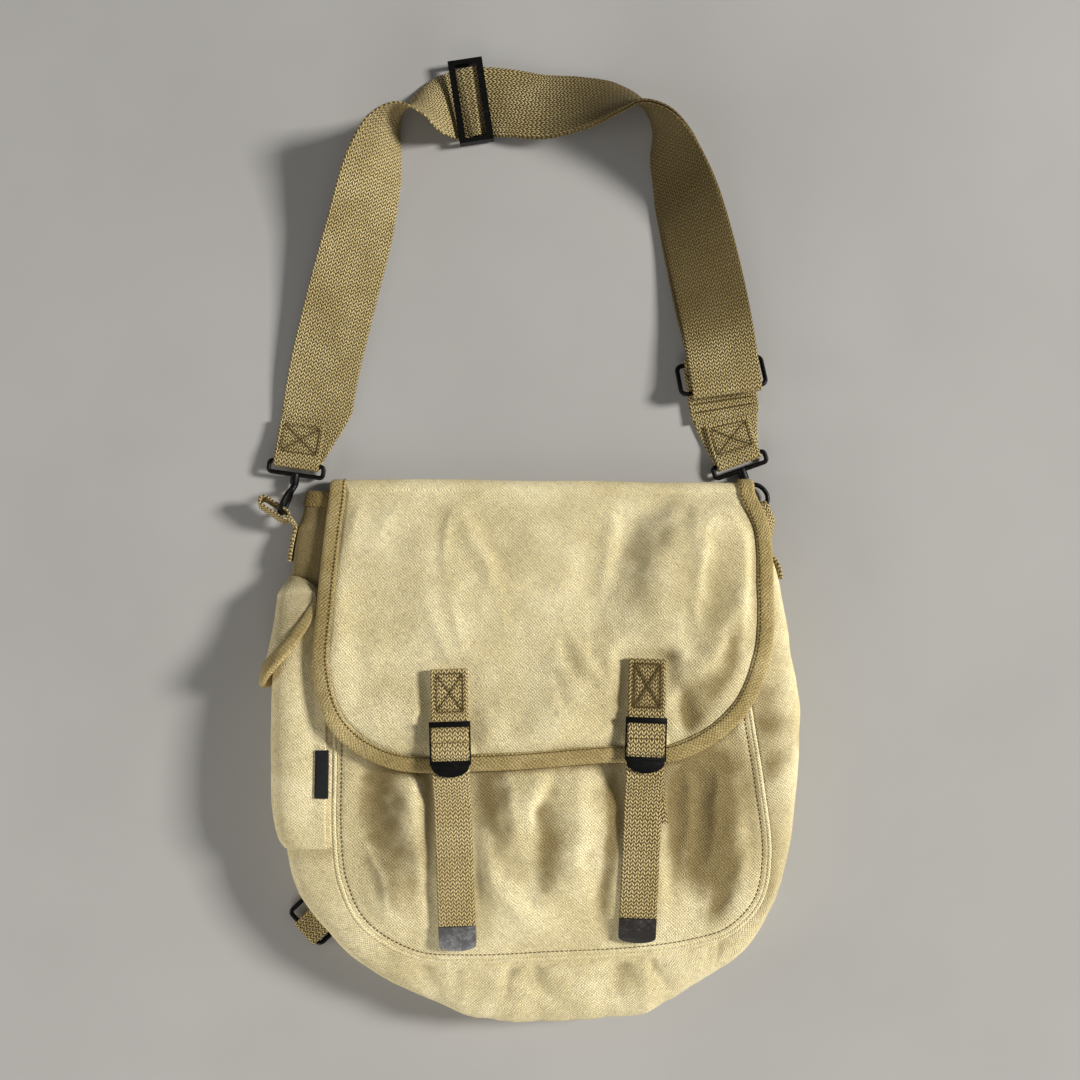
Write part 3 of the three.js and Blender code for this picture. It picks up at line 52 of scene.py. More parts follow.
SHIFT = np.array([slider_middle.x - SLIDER_PLACE[0], slider_middle.y - SLIDER_PLACE[1], 0])
UP = np.array([0.0, 0.0, 1.0])

CANVAS = 1.5
SEAM_STITCH_INSET = 4.6
TAPE_WIDTH = 11
TAPE_SHOWN = 9.6
TAPE = 1.0
TAPE_GAP = 0.65
GAP = 0.4
STRAP_WIDTH = 48
STRAP_THICK = 2.0
NARROW_WIDTH = 24.5
NARROW_THICK = 1.6
LAYER_GAP = 0.4

# Body of the bag
MOUTH_Y = 32
MOUTH_HEIGHT = 12
FULL_HEIGHT = 54
RISE_LENGTH = 205
DROOP_START_Y = -205
DROOP = 8
DROOP_LENGTH = 72
PANEL_CENTRE_X = 8
PANEL_HALF_WIDTH = 146
SIDE_FALL = 0.16
BULGE_LEVEL = 0.48
BULGE_SQUARENESS = 0.6
PIPING_RADIUS = 1.6
SEAM_INSET = PIPING_RADIUS + 0.7
CLOTH_INSET = 1.2
BACK_INSET = 1.1

# Sections round the body: front seam x and y, bulge of the gusset past it, tuck back to the back seam
SECTIONS = np.array([
    (-136, 32, 25, 21), (-137, -3, 31.5, 23.5), (-138, -40, 34, 20), (-137, -86, 35.5, 15.5),
    (-136, -145, 36.5, 14.5), (-136, -198, 36.5, 18.5), (-132, -228, 33, 23), (-118, -256, 24, 19),
    (-83, -277, 27.5, 18.5), (-44, -279.5, 44, 29), (5, -277, 49.5, 31.5), (62, -274, 48, 31),
    (100, -269, 31, 22), (126, -261, 20, 19), (146, -240, 12, 20), (152, -208, 16, 24),
    (147, -162, 27.5, 33.5), (140, -116, 36.5, 38.5), (134, -67, 35.5, 35.5), (133, -18, 28, 31),
    (131, 12, 8, 12), (130, 32, 6, 10)], float)
SEAM, GIRTH = SECTIONS[:, :2], SECTIONS[:, 2:]
LAST_SECTION = len(SECTIONS) - 1
LEFT_CORNER, RIGHT_CORNER = 7, 13

# Flap: plan of its edge from the left end of the fold round to the right end
FLAP_CLEARANCE = 3.2
FOLD_GAP = 1.1
POCKET_PROP = 4
FLAP_EDGE = np.array([
    (-143, 32), (-146, -4), (-148, -47), (-149, -88), (-135, -126), (-99, -148), (-32, -149),
    (40, -144), (92, -142), (134, -115), (153, -72), (156, -30), (155, 8), (146, 32)], float)
FLAP_LAST = len(FLAP_EDGE) - 1
FLAP_LEFT_CORNER, FLAP_RIGHT_CORNER = 4, 9
FOLD_SHARE = 3 / 19

# Folds run from one point to the other, spread west and east, and stand up by their height
Fold = namedtuple("Fold", "x0 y0 x1 y1 west east height")
FRONT_FOLDS = [Fold(*row) for row in [
    (-111, -216, -101, -237, 6, 5, -4.5), (-87, -202, -99, -211, 6, 6, -2.5),
    (-82, -166, -74, -256, 15, 9, -3), (14, -178, 16, -228, 11, 13, -4.5),
    (-13, -158, -28, -192, 8, 10, 2.4), (-28, -224, -19, -256, 7, 8, -2.5),
    (100, -156, 88, -180, 7, 6, -3), (121, -168, 114, -204, 6, 6, -3),
    (134, -172, 144, -222, 6, 6, -2.5), (105, -190, 98, -238, 8, 9, -2.5),
    (39, -164, 46, -236, 13, 13, 2), (-121, -170, -125, -204, 9, 9, 2)]]
FLAP_FOLDS = [Fold(*row) for row in [
    (103, 22, 79, -22, 9, 20, 5), (79, -22, 70, -52, 9, 20, 4), (118, 22, 107, -38, 7, 9, 3),
    (135, 12, 129, -42, 6, 7, 2), (-55, 19, -24, -38, 8, 11, 2.6), (54, 24, 43, -28, 6, 11, 2.6),
    (-92, 26, -110, 6, 8, 10, 2.2), (-68, -50, -57, -72, 5, 6, 1.8), (-80, -38, -71, -64, 5, 6, 1.6),
    (-53, -46, -46, -74, 5, 6, 1.6), (16, -66, 33, -88, 7, 7, 2.2), (5, -78, 22, -98, 7, 7, 1.6),
    (84, -106, 138, -76, 10, 12, 3.4), (-130, -12, -131, -80, 10, 12, 2),
    (-12, -84, -8, -118, 24, 24, 2), (-83, -72, -80, -128, 8, 8, -1.8), (46, -74, 47, -128, 9, 8, -2)]]

# Creases of the cloth itself: a line in plan, how far its sides fall away, and the height of its ridge
Crease = namedtuple("Crease", "line west east height")
FLAP_CREASES = [Crease(*row) for row in [
    ([(106, 56), (93, 14), (85, -14), (83, -42), (88, -90)], 18, 46, 10),
    ([(84, 50), (63, 8), (48, -20), (40, -76)], 30, 15, -4.5),
    ([(88, -110), (116, -72), (144, -28)], 15, 14, 5.9),
    ([(94, -86), (100, -142)], 12, 14, -2.8),
    ([(-46, 44), (-32, -4), (-16, -62)], 26, 22, -2.8),
    ([(-70, 50), (-51, 10), (-36, -22), (-22, -58)], 8, 15, 3.4),
    ([(-62, 48), (-62, 10), (-64, -38)], 5, 9, 2),
    ([(-83, -34), (-56, -90)], 6, 10, 2),
    ([(-65, -32), (-45, -84)], 6, 9, 1.6),
    ([(12, -84), (10, -150)], 22, 20, 4.2),
    ([(58, 48), (48, 0), (41, -52)], 7, 10, 2.1),
    ([(127, 52), (113, 2), (106, -36), (103, -66)], 8, 10, 3.1),
    ([(115, 46), (103, -10)], 6, 7, 2),
    ([(147, 22), (138, -30), (135, -66)], 9, 7, 3.1),
    ([(-1, -54), (33, -114)], 8, 10, 2.1),
    ([(13, -48), (45, -102)], 7, 9, 1.8),
    ([(-87, 46), (-119, -14)], 10, 11, 2.5),
    ([(-118, 42), (-135, -16)], 8, 8, 2),
    ([(-108, -20), (-90, -102)], 18, 20, -2)]]
FRONT_CREASES = [Crease(*row) for row in [
    ([(-13, -224), (-8, -176), (0, -152), (3, -112)], 22, 12, 7.3),
    ([(27, -112), (24, -180), (21, -250)], 15, 19, 7.3),
    ([(-41, -186), (-29, -228), (-6, -256), (16, -274)], 14, 16, 5.7),
    ([(134, -112), (139, -186), (132, -256)], 26, 10, 8.8),
    ([(119, -116), (116, -178), (111, -226)], 8, 10, 3.5),
    ([(96, -118), (98, -180), (94, -230)], 8, 10, 3),
    ([(100, -120), (103, -190), (102, -256)], 28, 26, -6.1),
    ([(-87, -112), (-84, -170), (-84, -226)], 17, 13, 7.6),
    ([(-113, -116), (-112, -182), (-104, -226)], 20, 22, -4.6),
    ([(-134, -170), (-130, -240)], 11, 13, 3.2),
    ([(-120, -214), (-104, -270)], 13, 14, 4.3),
    ([(-114, -196), (-104, -224), (-98, -256)], 5, 14, 4.1),
    ([(-20, -140), (-15, -210)], 5, 7, 2),
    ([(47, -190), (44, -284)], 17, 17, -3.2),
    ([(129, -190), (126, -240), (104, -272)], 17, 15, -4.1)]]
# Painted shade: darker, browned stretches of the cloth where its folds fall into shadow, laid out in the same
# way with the strength last
FLAP_PAINTED_SHADE = [Crease(*row) for row in [
    ([(98, 60), (85, 12), (74, -10), (62, -38), (48, -84)], 13, 11, 0.4),
    ([(96, -78), (99, -148)], 12, 15, 0.5),
    ([(142, -26), (124, -86), (92, -134)], 12, 9, 0.43),
    ([(130, 74), (120, -40), (104, -164)], 40, 34, 0.42),
    ([(-40, 40), (-26, -10), (-14, -58)], 18, 15, 0.22),
    ([(-64, 40), (-63, 0), (-66, -40)], 7, 9, 0.15),
    ([(45, -50), (46, -146)], 9, 9, 0.4),
    ([(24, -40), (18, -120)], 16, 14, 0.19),
    ([(14, -50), (8, -172)], 46, 38, 0.2),
    ([(-81, -60), (-83, -140)], 9, 9, 0.31)]]
FRONT_PAINTED_SHADE = [Crease(*row) for row in [
    ([(-100, -96), (-102, -170), (-97, -266)], 21, 20, 0.58),
    ([(-83, -120), (-82, -190), (-86, -254)], 10, 8, 0.6),
    ([(-40, -104), (-33, -166), (-21, -226)], 13, 15, 0.72),
    ([(4, -166), (3, -206), (1, -254)], 12, 13, 0.68),
    ([(51, -110), (49, -200), (45, -274)], 9, 9, 0.72),
    ([(99, -100), (104, -166), (104, -244)], 26, 28, 1.05),
    ([(120, -90), (120, -190), (108, -290)], 26, 30, 0.36),
    ([(129, -196), (124, -236), (104, -272)], 13, 11, 0.56),
    ([(-106, -204), (-94, -254)], 8, 9, 0.56)]]

# Gathers of the gusset: section, width in sections, depth; fine ones are only in the cloth
Gather = namedtuple("Gather", "section width depth")
GATHERS = [Gather(*row) for row in [
    (7.5, 0.2, 1.2), (8.3, 0.2, 1.4), (9.1, 0.2, 1.4), (9.8, 0.2, 1.6), (10.6, 0.2, 1.6), (11.4, 0.2, 1.4),
    (16.6, 0.3, 1.2), (17.7, 0.25, 1.2)]]
FINE_GATHERS = [Gather(*row) for row in [
    (7.7, 0.09, 0.4), (8.42, 0.09, 0.5), (8.95, 0.08, 0.6), (9.4, 0.09, 0.6), (9.87, 0.08, 0.6),
    (10.3, 0.09, 0.5), (10.63, 0.08, 0.6), (11.0, 0.09, 0.6), (11.45, 0.08, 0.6), (11.9, 0.1, 0.5),
    (12.5, 0.12, 0.4), (16.2, 0.14, 0.4), (17.2, 0.16, 0.4)]]

# Wrinkles of the gusset: section at the seam and further out, width in sections, height
Wrinkle = namedtuple("Wrinkle", "start end width height")
WRINKLES = [Wrinkle(*row) for row in [
    (9.58, 9.18, 0.13, -1.4), (9.4, 9.02, 0.13, 0.9), (9.86, 10.22, 0.16, -1.2), (10.93, 10.78, 0.16, -1.6),
    (11.1, 11.12, 0.13, 0.9), (11.26, 11.75, 0.12, -1.0), (12.5, 11.95, 0.12, -0.8), (12.75, 12.2, 0.1, -0.8),
    (8.25, 8.5, 0.18, -1.1), (8.75, 8.6, 0.13, -0.8), (7.6, 7.85, 0.2, -1.0), (10.4, 10.45, 0.2, 0.8),
    (16.2, 16.5, 0.18, -0.7), (16.9, 16.7, 0.16, -0.7), (5.9, 6.2, 0.2, -0.8)]]

# Side pocket, its flap and the plain label on the left gusset, by section and share across it
POCKET_SECTIONS = (1.95, 5.18)
POCKET_ACROSS = (0.1, 0.68)
POCKET_SEAM = 0.03
POCKET_FULLNESS = 8
POCKET_FLAP_TOP, POCKET_FLAP_SIDE, POCKET_FLAP_TIP = 1.62, 2.25, 3.22
POCKET_FLAP_TIP_ACROSS = 0.68
POCKET_FLAP_LIFT = 4
POCKET_FLAP_ACROSS = (0.1, 0.7)
POCKET_TAPE_END = 7 / 9
LABEL_SECTIONS = (3.9, 4.47)
LABEL_ACROSS = (0.012, 0.095)
LABEL_THICK = 0.8

# Closures: buckle middle, lean of the strap, lengths along the strap from that middle, and painted shade on
# its webbing
Closure = namedtuple("Closure", "side x y lean tab_end anchor anchor_shift tail soil")
CLOSURES = [
    Closure("left", -58.4, -131.7, 0.031, 47, -54, 0, 122, 0.0),
    Closure("right", 68.8, -129.1, -0.038, 51, -56, 5, 119, 0.26)]
TIP_LENGTH, TIP_BOW, TIP_THICK = 16.5, 4, 3
BUCKLE_INNER, BUCKLE_RAIL = 25.0, 0.9
BAR_DEPTH, BAR_OFFSET, BAR_LOW, BAR_HIGH = 3, 4.6, 2.2, 4.2
TOP_BAR_NEAR, TOP_BAR_FAR = 9.8, 13.4
MOON_NEAR, MOON_FAR = -12, -22.5
COVER_LOW, COVER_HIGH = 4.2, 5.7
LOWER_LAYER, UPPER_LAYER, OVER_BAR = 1.1, 3.0, 5.45

# Shoulder strap: x, y, tilt of its face in degrees and lift off the floor
STRAP_STATIONS = np.array([
    (-160.8, 52, 2, 1), (-156.8, 80, 4, 0), (-150.5, 116, 8, 0), (-139.4, 161, 14, 0),
    (-124, 216, 26, 0), (-114.5, 253, 42, 0), (-106, 277, 66, 0), (-95, 292, 98, 0),
    (-81, 298.5, 130, 0), (-68, 301, 164, 0.3), (-57.5, 302.9, 180, 1.2), (-48, 304.7, 180, 4.6),
    (-39, 305.6, 180, 0.2), (-22, 304.2, 175, 0), (2, 300.8, 168, 0), (27, 301.5, 154, 0),
    (50, 302.5, 134, 0), (68, 299, 112, 0), (82, 287, 88, 0), (91, 267, 58, 0),
    (102, 236, 34, 0), (110, 207, 22, 1), (119, 167, 10, 5), (124.4, 136, 3, 8.6),
    (128.6, 104, 0, 9.4)], float)
STRAP_LAST = len(STRAP_STATIONS) - 1
SLIDER_STATION = 11
END_WIDTH = 31.5
TAPER_STATION = 1.35
PATCH_LENGTH = 29
WIRE_RADIUS = 1.6
WRAP_RADIUS = WIRE_RADIUS + GAP + STRAP_THICK / 2
END_LAYER = 2 * WRAP_RADIUS
CLOSE_LAYER = STRAP_THICK + LAYER_GAP
SLIDER_LENGTH, SLIDER_DEPTH = 57.5, 24
SLIDER_SIDE_BAR, SLIDER_END_BAR, SLIDER_CENTRE_BAR = 4.6, 3, 4
SLIDER_BASE, SLIDER_BAR_LOW, SLIDER_TOP = 2.5, 7.2, 9.4

# Ring, snap bails, snap hooks, tabs and loops
RING_WIDTH, RING_DEPTH, RING_CORNER, RING_SHIFT = 62, 26, 4, 1.8
BAIL_WIDTH, BAIL_DEPTH, BAIL_CORNER = 41, 11, 2.5
BARREL_RADIUS, BARREL_LENGTH = 3.1, 8
COLLAR_LENGTH = 4.5
SWIVEL_GAP = 1.55
EYE_ACROSS, EYE_DOWN = 8.4, 18.4
TAB_LENGTH, TAB_BEND_FROM, TAB_TAPER_FROM, TAB_SEWN_LENGTH = 69.9, 24, 34, 39.5
TAB_BEND = math.radians(12)
LOOP_WIDTH, LOOP_THICK = 10.5, 1.8
LOOP_SLIT = {"left": (13, 4), "right": (0.1, 0.1)}
LEFT_SHAFT = (-0.36, -0.84, 0.41)
RIGHT_SHAFT = (0.5, -0.866, 0)
BACK_TAB_WIDTH, BACK_TAB_LENGTH, BACK_TAB_HUMP = 20, 33, 26
BACK_TAB_SECTION, BACK_TAB_START = 6.55, 7.4
BACK_TAB_ANGLE = math.radians(222.5)
BACK_RING_WIDTH, BACK_RING_DEPTH, BACK_RING_CORNER, BACK_RING_SHIFT = 34, 24, 3, -2.5


# Small number helpers

def lerp(a, b, share):
    return a + (b - a) * share


def smoothstep(value, low, high):
    share = np.clip((value - low) / (high - low), 0, 1)
    return share * share * (3 - 2 * share)


def unit(vectors):
    vectors = np.asarray(vectors, float)
    return vectors / np.maximum(np.linalg.norm(vectors, axis=-1, keepdims=True), 1e-9)


def with_z(points, z):
    return np.concatenate([points[..., :2], np.asarray(z, float)[..., None]], -1)


def smooth_line(rows, places):
    """Points on a smooth curve through the rows, at places counted in rows."""
    rows = np.asarray(rows, float)
    ends = np.vstack([2 * rows[0] - rows[1], rows, 2 * rows[-1] - rows[-2]])
    places = np.clip(np.asarray(places, float), 0, len(rows) - 1)
    first = np.minimum(places.astype(int), len(rows) - 2)
    share = (places - first)[..., None]
    p0, p1, p2, p3 = (ends[first + n] for n in range(4))
    d0, d1, d2 = (np.sqrt(np.linalg.norm(b - a, axis=-1, keepdims=True))
                  for a, b in ((p0, p1), (p1, p2), (p2, p3)))
    t1 = ((p1 - p0) / d0 - (p2 - p0) / (d0 + d1) + (p2 - p1) / d1) * d1
    t2 = ((p2 - p1) / d1 - (p3 - p1) / (d1 + d2) + (p3 - p2) / d2) * d1
    bend = -3 * p1 + 3 * p2 - 2 * t1 - t2
    return p1 + share * (t1 + share * (bend + share * (2 * p1 - 2 * p2 + t1 + t2)))


def lumps(x, y, size, seed):
    """Soft random heights from -1 to 1, one lump about every size millimetres."""
    table = np.random.default_rng(seed).uniform(-1, 1, (61, 61))
    turn = 0.5 + seed
    gx = (x * math.cos(turn) + y * math.sin(turn)) / size
    gy = (y * math.cos(turn) - x * math.sin(turn)) / size
    i, j = np.floor(gx).astype(int), np.floor(gy).astype(int)
    fx, fy = smoothstep(gx - i, 0, 1), smoothstep(gy - j, 0, 1)
    low = lerp(table[i % 61, j % 61], table[(i + 1) % 61, j % 61], fx)
    high = lerp(table[i % 61, (j + 1) % 61], table[(i + 1) % 61, (j + 1) % 61], fx)
    return lerp(low, high, fy)


def nearest(points, line):
    """Distance in plan from each point to the nearest point of a line."""
    flat = points[..., :2].reshape(-1, 2)
    gaps = np.full(len(flat), 1e9)
    for spot in line[:, :2]:
        gaps = np.minimum(gaps, (flat[:, 0] - spot[0]) ** 2 + (flat[:, 1] - spot[1]) ** 2)
    return np.sqrt(gaps).reshape(points.shape[:-1])


# Surfaces of the body

def fold_height(folds, x, y):
    height = np.zeros_like(np.asarray(x, float))
    for fold in folds:
        run_x, run_y = fold.x1 - fold.x0, fold.y1 - fold.y0
        length = math.hypot(run_x, run_y)
        rx, ry = x - fold.x0, y - fold.y0
        along = np.clip((rx * run_x + ry * run_y) / length ** 2, 0, 1)
        eastward = (rx * run_y - ry * run_x) * np.sign(run_y) / length
        gap = np.maximum(np.hypot(rx - run_x * along, ry - run_y * along), 1e-6)
        away = gap / lerp(fold.west, fold.east, 0.5 + 0.5 * eastward / gap)
        crest = np.exp(-1.7 * (np.sqrt(away * away + 0.06) - math.sqrt(0.06)))
        height += fold.height * crest * (0.55 + 0.45 * np.sin(np.pi * along))
    return height


def crease_height(creases, x, y):
    """Height of wandering creases, each highest along its line and easing out at both ends."""
    x, y = x + 2.6 * lumps(x, y, 21, 71) + 1.0 * lumps(x, y, 8, 73), y + 2.6 * lumps(x, y, 19, 72)
    height = np.zeros_like(x)
    for crease in creases:
        line = np.array(sorted(crease.line, key=lambda spot: spot[1]), float)
        middle = sum(np.interp(y + step, line[:, 1], line[:, 0]) for step in (-8, 0, 8)) / 3
        rise = line[-1, 1] - line[0, 1]
        eastward = (x - middle) * rise / math.hypot(rise, line[-1, 0] - line[0, 0])
        away = eastward / np.where(eastward < 0, crease.west, crease.east)
        round_crest = 0.05 + 0.26 * ((crease.west + crease.east) / 40) ** 2
        ridge = np.exp(-1.9 * (np.sqrt(away * away + round_crest) - math.sqrt(round_crest)))
        along = np.clip((y - line[0, 1]) / rise, 0, 1)
        height += crease.height * ridge * np.sin(np.pi * along) ** 1.3
    return height


def body_height(x, y):
    rise = np.clip((MOUTH_Y - y) / RISE_LENGTH, 0, 1)
    height = MOUTH_HEIGHT + (FULL_HEIGHT - MOUTH_HEIGHT) * np.sin(rise * np.pi / 2)
    height = height - DROOP * np.clip((DROOP_START_Y - y) / DROOP_LENGTH, 0, 1.2) ** 2
    return height * (1 - SIDE_FALL * np.abs((x - PANEL_CENTRE_X) / PANEL_HALF_WIDTH) ** 2.6)


def seam_frame(section):
    """Plan point of the front seam, the outward direction, and the gusset's bulge and tuck there."""
    section = np.clip(np.asarray(section, float), 0, LAST_SECTION)
    step = 0.002 * LAST_SECTION
    run = unit(smooth_line(SEAM, section + step) - smooth_line(SEAM, section - step))
    out = np.stack([run[..., 1], -run[..., 0], np.zeros_like(run[..., 0])], -1)
    point = with_z(smooth_line(SEAM, section), np.zeros_like(section))
    girth = smooth_line(GIRTH, section)
    return point, out, girth[..., 0], girth[..., 1]


def seam_point(section, outward=0.0):
    point, out, _, _ = seam_frame(section)
    point = point + out * outward
    return with_z(point, body_height(point[..., 0], point[..., 1]))


def gusset_point(section, across, gathers=GATHERS, inset=SEAM_INSET):
    point, out, bulge, tuck = seam_frame(section)
    top = body_height(point[..., 0], point[..., 1])
    level = top * BULGE_LEVEL
    upper = np.clip(across, 0, 0.5) * np.pi
    lower = np.clip(across - 0.5, 0, 0.5) * np.pi
    reach = np.where(across < 0.5, inset + (bulge - inset) * np.sin(upper),
                     bulge - tuck + tuck * np.cos(lower))
    swell = np.maximum(np.cos(upper), 0) ** BULGE_SQUARENESS
    z = np.where(across < 0.5, level + (top - level) * swell, level * (1 - np.sin(lower)))
    soft = np.sin(np.pi * np.clip(across / 0.62, 0, 1))
    for gather in gathers:
        dent = gather.depth * np.exp(-(((section - gather.section) / gather.width) ** 2)) * soft
        reach = reach - dent * 0.7
        z = z - dent * 0.5
    return with_z(point + out * reach[..., None], z)


def gusset_normal(section, across):
    step = 0.01
    along = gusset_point(section + step, across) - gusset_point(section - step, across)
    over = (gusset_point(section, np.minimum(across + step, 1))
            - gusset_point(section, np.maximum(across - step, 0)))
    return unit(np.cross(over, along))


def off_gusset(section, across, height):
    return gusset_point(section, across) + gusset_normal(section, across) * np.asarray(height)[..., None]


def patch(edge_at, left_corner, right_corner, last, s, t):
    """Four-sided patch in plan between a left, bottom, right and top edge."""
    s, t = s[..., None], t[..., None]
    left, right = edge_at(t[..., 0] * left_corner), edge_at(lerp(last, right_corner, t[..., 0]))
    bottom = edge_at(lerp(left_corner, right_corner, s[..., 0]))
    start, end = edge_at(np.array(0.0)), edge_at(np.array(float(last)))
    low_left, low_right = edge_at(np.array(float(left_corner))), edge_at(np.array(float(right_corner)))
    top = lerp(start, end, s)
    corners = lerp(lerp(start, end, s), lerp(low_left, low_right, s), t)
    return lerp(top, bottom, t) + lerp(left, right, s) - corners


def flap_edge(place):
    return with_z(smooth_line(FLAP_EDGE, place), np.zeros_like(np.asarray(place, float)))


def flap_top(x, y):
    fade = np.clip((MOUTH_Y - 4 - y) / 20, 0, 1)
    prop = POCKET_PROP * smoothstep(-x, 118, 140) * smoothstep(-y, 5, 45)
    return body_height(x, y) + FLAP_CLEARANCE + CANVAS + prop + fade * fold_height(FLAP_FOLDS, x, y)


def front_top(x, y):
    return body_height(x, y) + np.maximum(0, fold_height(FRONT_FOLDS, x, y))


# Meshes

def on_part(points):
    return (np.asarray(points, float) + SHIFT) * MM


def paint(mesh, name, values):
    """Keeps a number for each point of a mesh, for its material to read."""
    layer = mesh.attributes.new(name, "FLOAT", "POINT")
    layer.data.foreach_set("value", np.asarray(values, np.float32).ravel())


def mesh_object(name, vertices, faces, corner_uv=None, hollow=None):
    """A mesh object at the origin; corner_uv has a row for each face corner, in millimetres."""
    mesh = bpy.data.meshes.new(name)
    spots = on_part(vertices)
    spots[:, 2] = np.maximum(spots[:, 2], 0)
    mesh.from_pydata(spots.tolist(), [], faces)
    if corner_uv is not None:
        layer = mesh.uv_layers.new(name="cloth")
        layer.data.foreach_set("uv", (np.asarray(corner_uv) * MM).astype(np.float32).ravel())
    if hollow is not None:
        paint(mesh, "hollow", hollow)
    mesh.update()
    obj = bpy.data.objects.new(name, mesh)
    bpy.context.scene.collection.objects.link(obj)
    return obj


def grid_quads(rows, columns, wrap_rows=False, wrap_columns=False):
    """Quads of a grid and, for the corners of each, the row and column that its pattern comes from."""
    row_starts = np.arange(rows - (not wrap_rows))
    column_starts = np.arange(columns - (not wrap_columns))
    i, j = (side.ravel() for side in np.meshgrid(row_starts, column_starts, indexing="ij"))
    corner_rows = np.stack([i, i, i + 1, i + 1], -1)
    corner_columns = np.stack([j, j + 1, j + 1, j], -1)
    return (corner_rows % rows) * columns + corner_columns % columns, corner_rows, corner_columns


def normals_of(points):
    return unit(np.cross(np.gradient(points, axis=1), np.gradient(points, axis=0)))


def hollow_of(points, reach):
    """How far each grid point lies below the points around it, along its own normal."""
    padded = np.pad(points, ((reach, reach), (reach, reach), (0, 0)), mode="edge")
    rows, columns = points.shape[:2]
    around = sum(padded[reach + a:reach + a + rows, reach + b:reach + b + columns]
                 for a, b in ((reach, 0), (-reach, 0), (0, reach), (0, -reach))) / 4
    return ((around - points) * normals_of(points)).sum(-1)


def select_only(obj):
    bpy.ops.object.select_all(action="DESELECT")
    bpy.context.view_layer.objects.active = obj
    obj.select_set(True)


def smooth_faces(obj, degrees):
    """Smooth shading, but for edges sharper than an angle."""
    select_only(obj)
    bpy.ops.object.shade_smooth_by_angle(angle=math.radians(degrees))


def apply_modifier(obj, kind, **values):
    modifier = obj.modifiers.new(kind.lower(), kind)
    for name, value in values.items():
        setattr(modifier, name, value)
    select_only(obj)
    bpy.ops.object.modifier_apply(modifier=modifier.name)


def finish_piece(obj, material, slot, *nodes):
    """Gives a piece its material and its place on the part; slot is not used."""
    obj.data.materials.clear()
    obj.data.materials.append(material)
    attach(obj, "root")
    if nodes:
        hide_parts(*nodes)
    return obj


def cloth_wall(name, points, uv, thickness=CANVAS, soil=0.0):
    """A wall of cloth behind a grid of points on its outer face."""
    rows, columns = points.shape[:2]
    quads, corner_rows, corner_columns = grid_quads(rows, columns)
    # Hollow darkens the cloth: painted shade and grime in its creases from the curvature, plus the painted
    # shade passed in.
    hollow = 0.5 + hollow_of(points, 3) / 5 + hollow_of(points, 8) / 24 + 0.5 * soil
    obj = mesh_object(name, points.reshape(-1, 3), quads.tolist(),
                      uv[corner_rows, corner_columns].reshape(-1, 2), np.clip(hollow, 0, 1))
    apply_modifier(obj, "SOLIDIFY", thickness=thickness * MM, offset=-1, use_quality_normals=True)
    obj.data.shade_smooth()
    return obj


def section_of_webbing(width, thickness, flats=8):
    """Cross section of a webbing strap with rounded edges: across and height, anticlockwise."""
    half, rise = 0.5 * width, 0.5 * thickness
    round_edge = np.linspace(-math.pi / 2, math.pi / 2, 6)
    flat = np.linspace(-half + rise, half - rise, flats)[1:-1]
    right = [(half - rise + rise * math.cos(a), rise * math.sin(a)) for a in round_edge]
    left = [(-half + rise - rise * math.cos(a), -rise * math.sin(a)) for a in round_edge]
    top = [(x, rise) for x in flat[::-1]]
    bottom = [(x, -rise) for x in flat]
    return np.array(right + top + left + bottom)


def sweep(name, middles, sides, ups, sections, along, closed=False):
    """A solid of cross sections set on middles, with the pattern running along and across it."""
    rows, columns = len(middles), sections.shape[1]
    points = (middles[:, None] + sides[:, None] * sections[..., :1] + ups[:, None] * sections[..., 1:2])
    quads, corner_rows, corner_columns = grid_quads(rows, columns, closed, True)
    faces = quads[:, ::-1].tolist()
    across = np.concatenate([sections[..., 0], sections[:, :1, 0]], 1)
    across = np.concatenate([across, across[:1]], 0)
    run = np.append(along, along[-1] + np.linalg.norm(middles[0] - middles[-1]))
    corner_uv = np.stack([across[corner_rows, corner_columns], run[corner_rows]], -1)[:, ::-1].reshape(-1, 2)
    if not closed:
        faces += [list(range(columns))[::-1], list(range((rows - 1) * columns, rows * columns))]
        ends = np.concatenate([sections[0, ::-1], sections[-1]])
        corner_uv = np.concatenate([corner_uv, ends])
    obj = mesh_object(name, points.reshape(-1, 3), faces, corner_uv)
    outward(obj)
    return obj


def outward(obj):
    """Turns the faces of a closed mesh outwards."""
    work = bmesh.new()
    work.from_mesh(obj.data)
    bmesh.ops.recalc_face_normals(work, faces=work.faces)
    work.to_mesh(obj.data)
    work.free()


def lengths_along(points):
    steps = np.linalg.norm(np.diff(points, axis=0), axis=1)
    return np.concatenate([[0], np.cumsum(steps)])


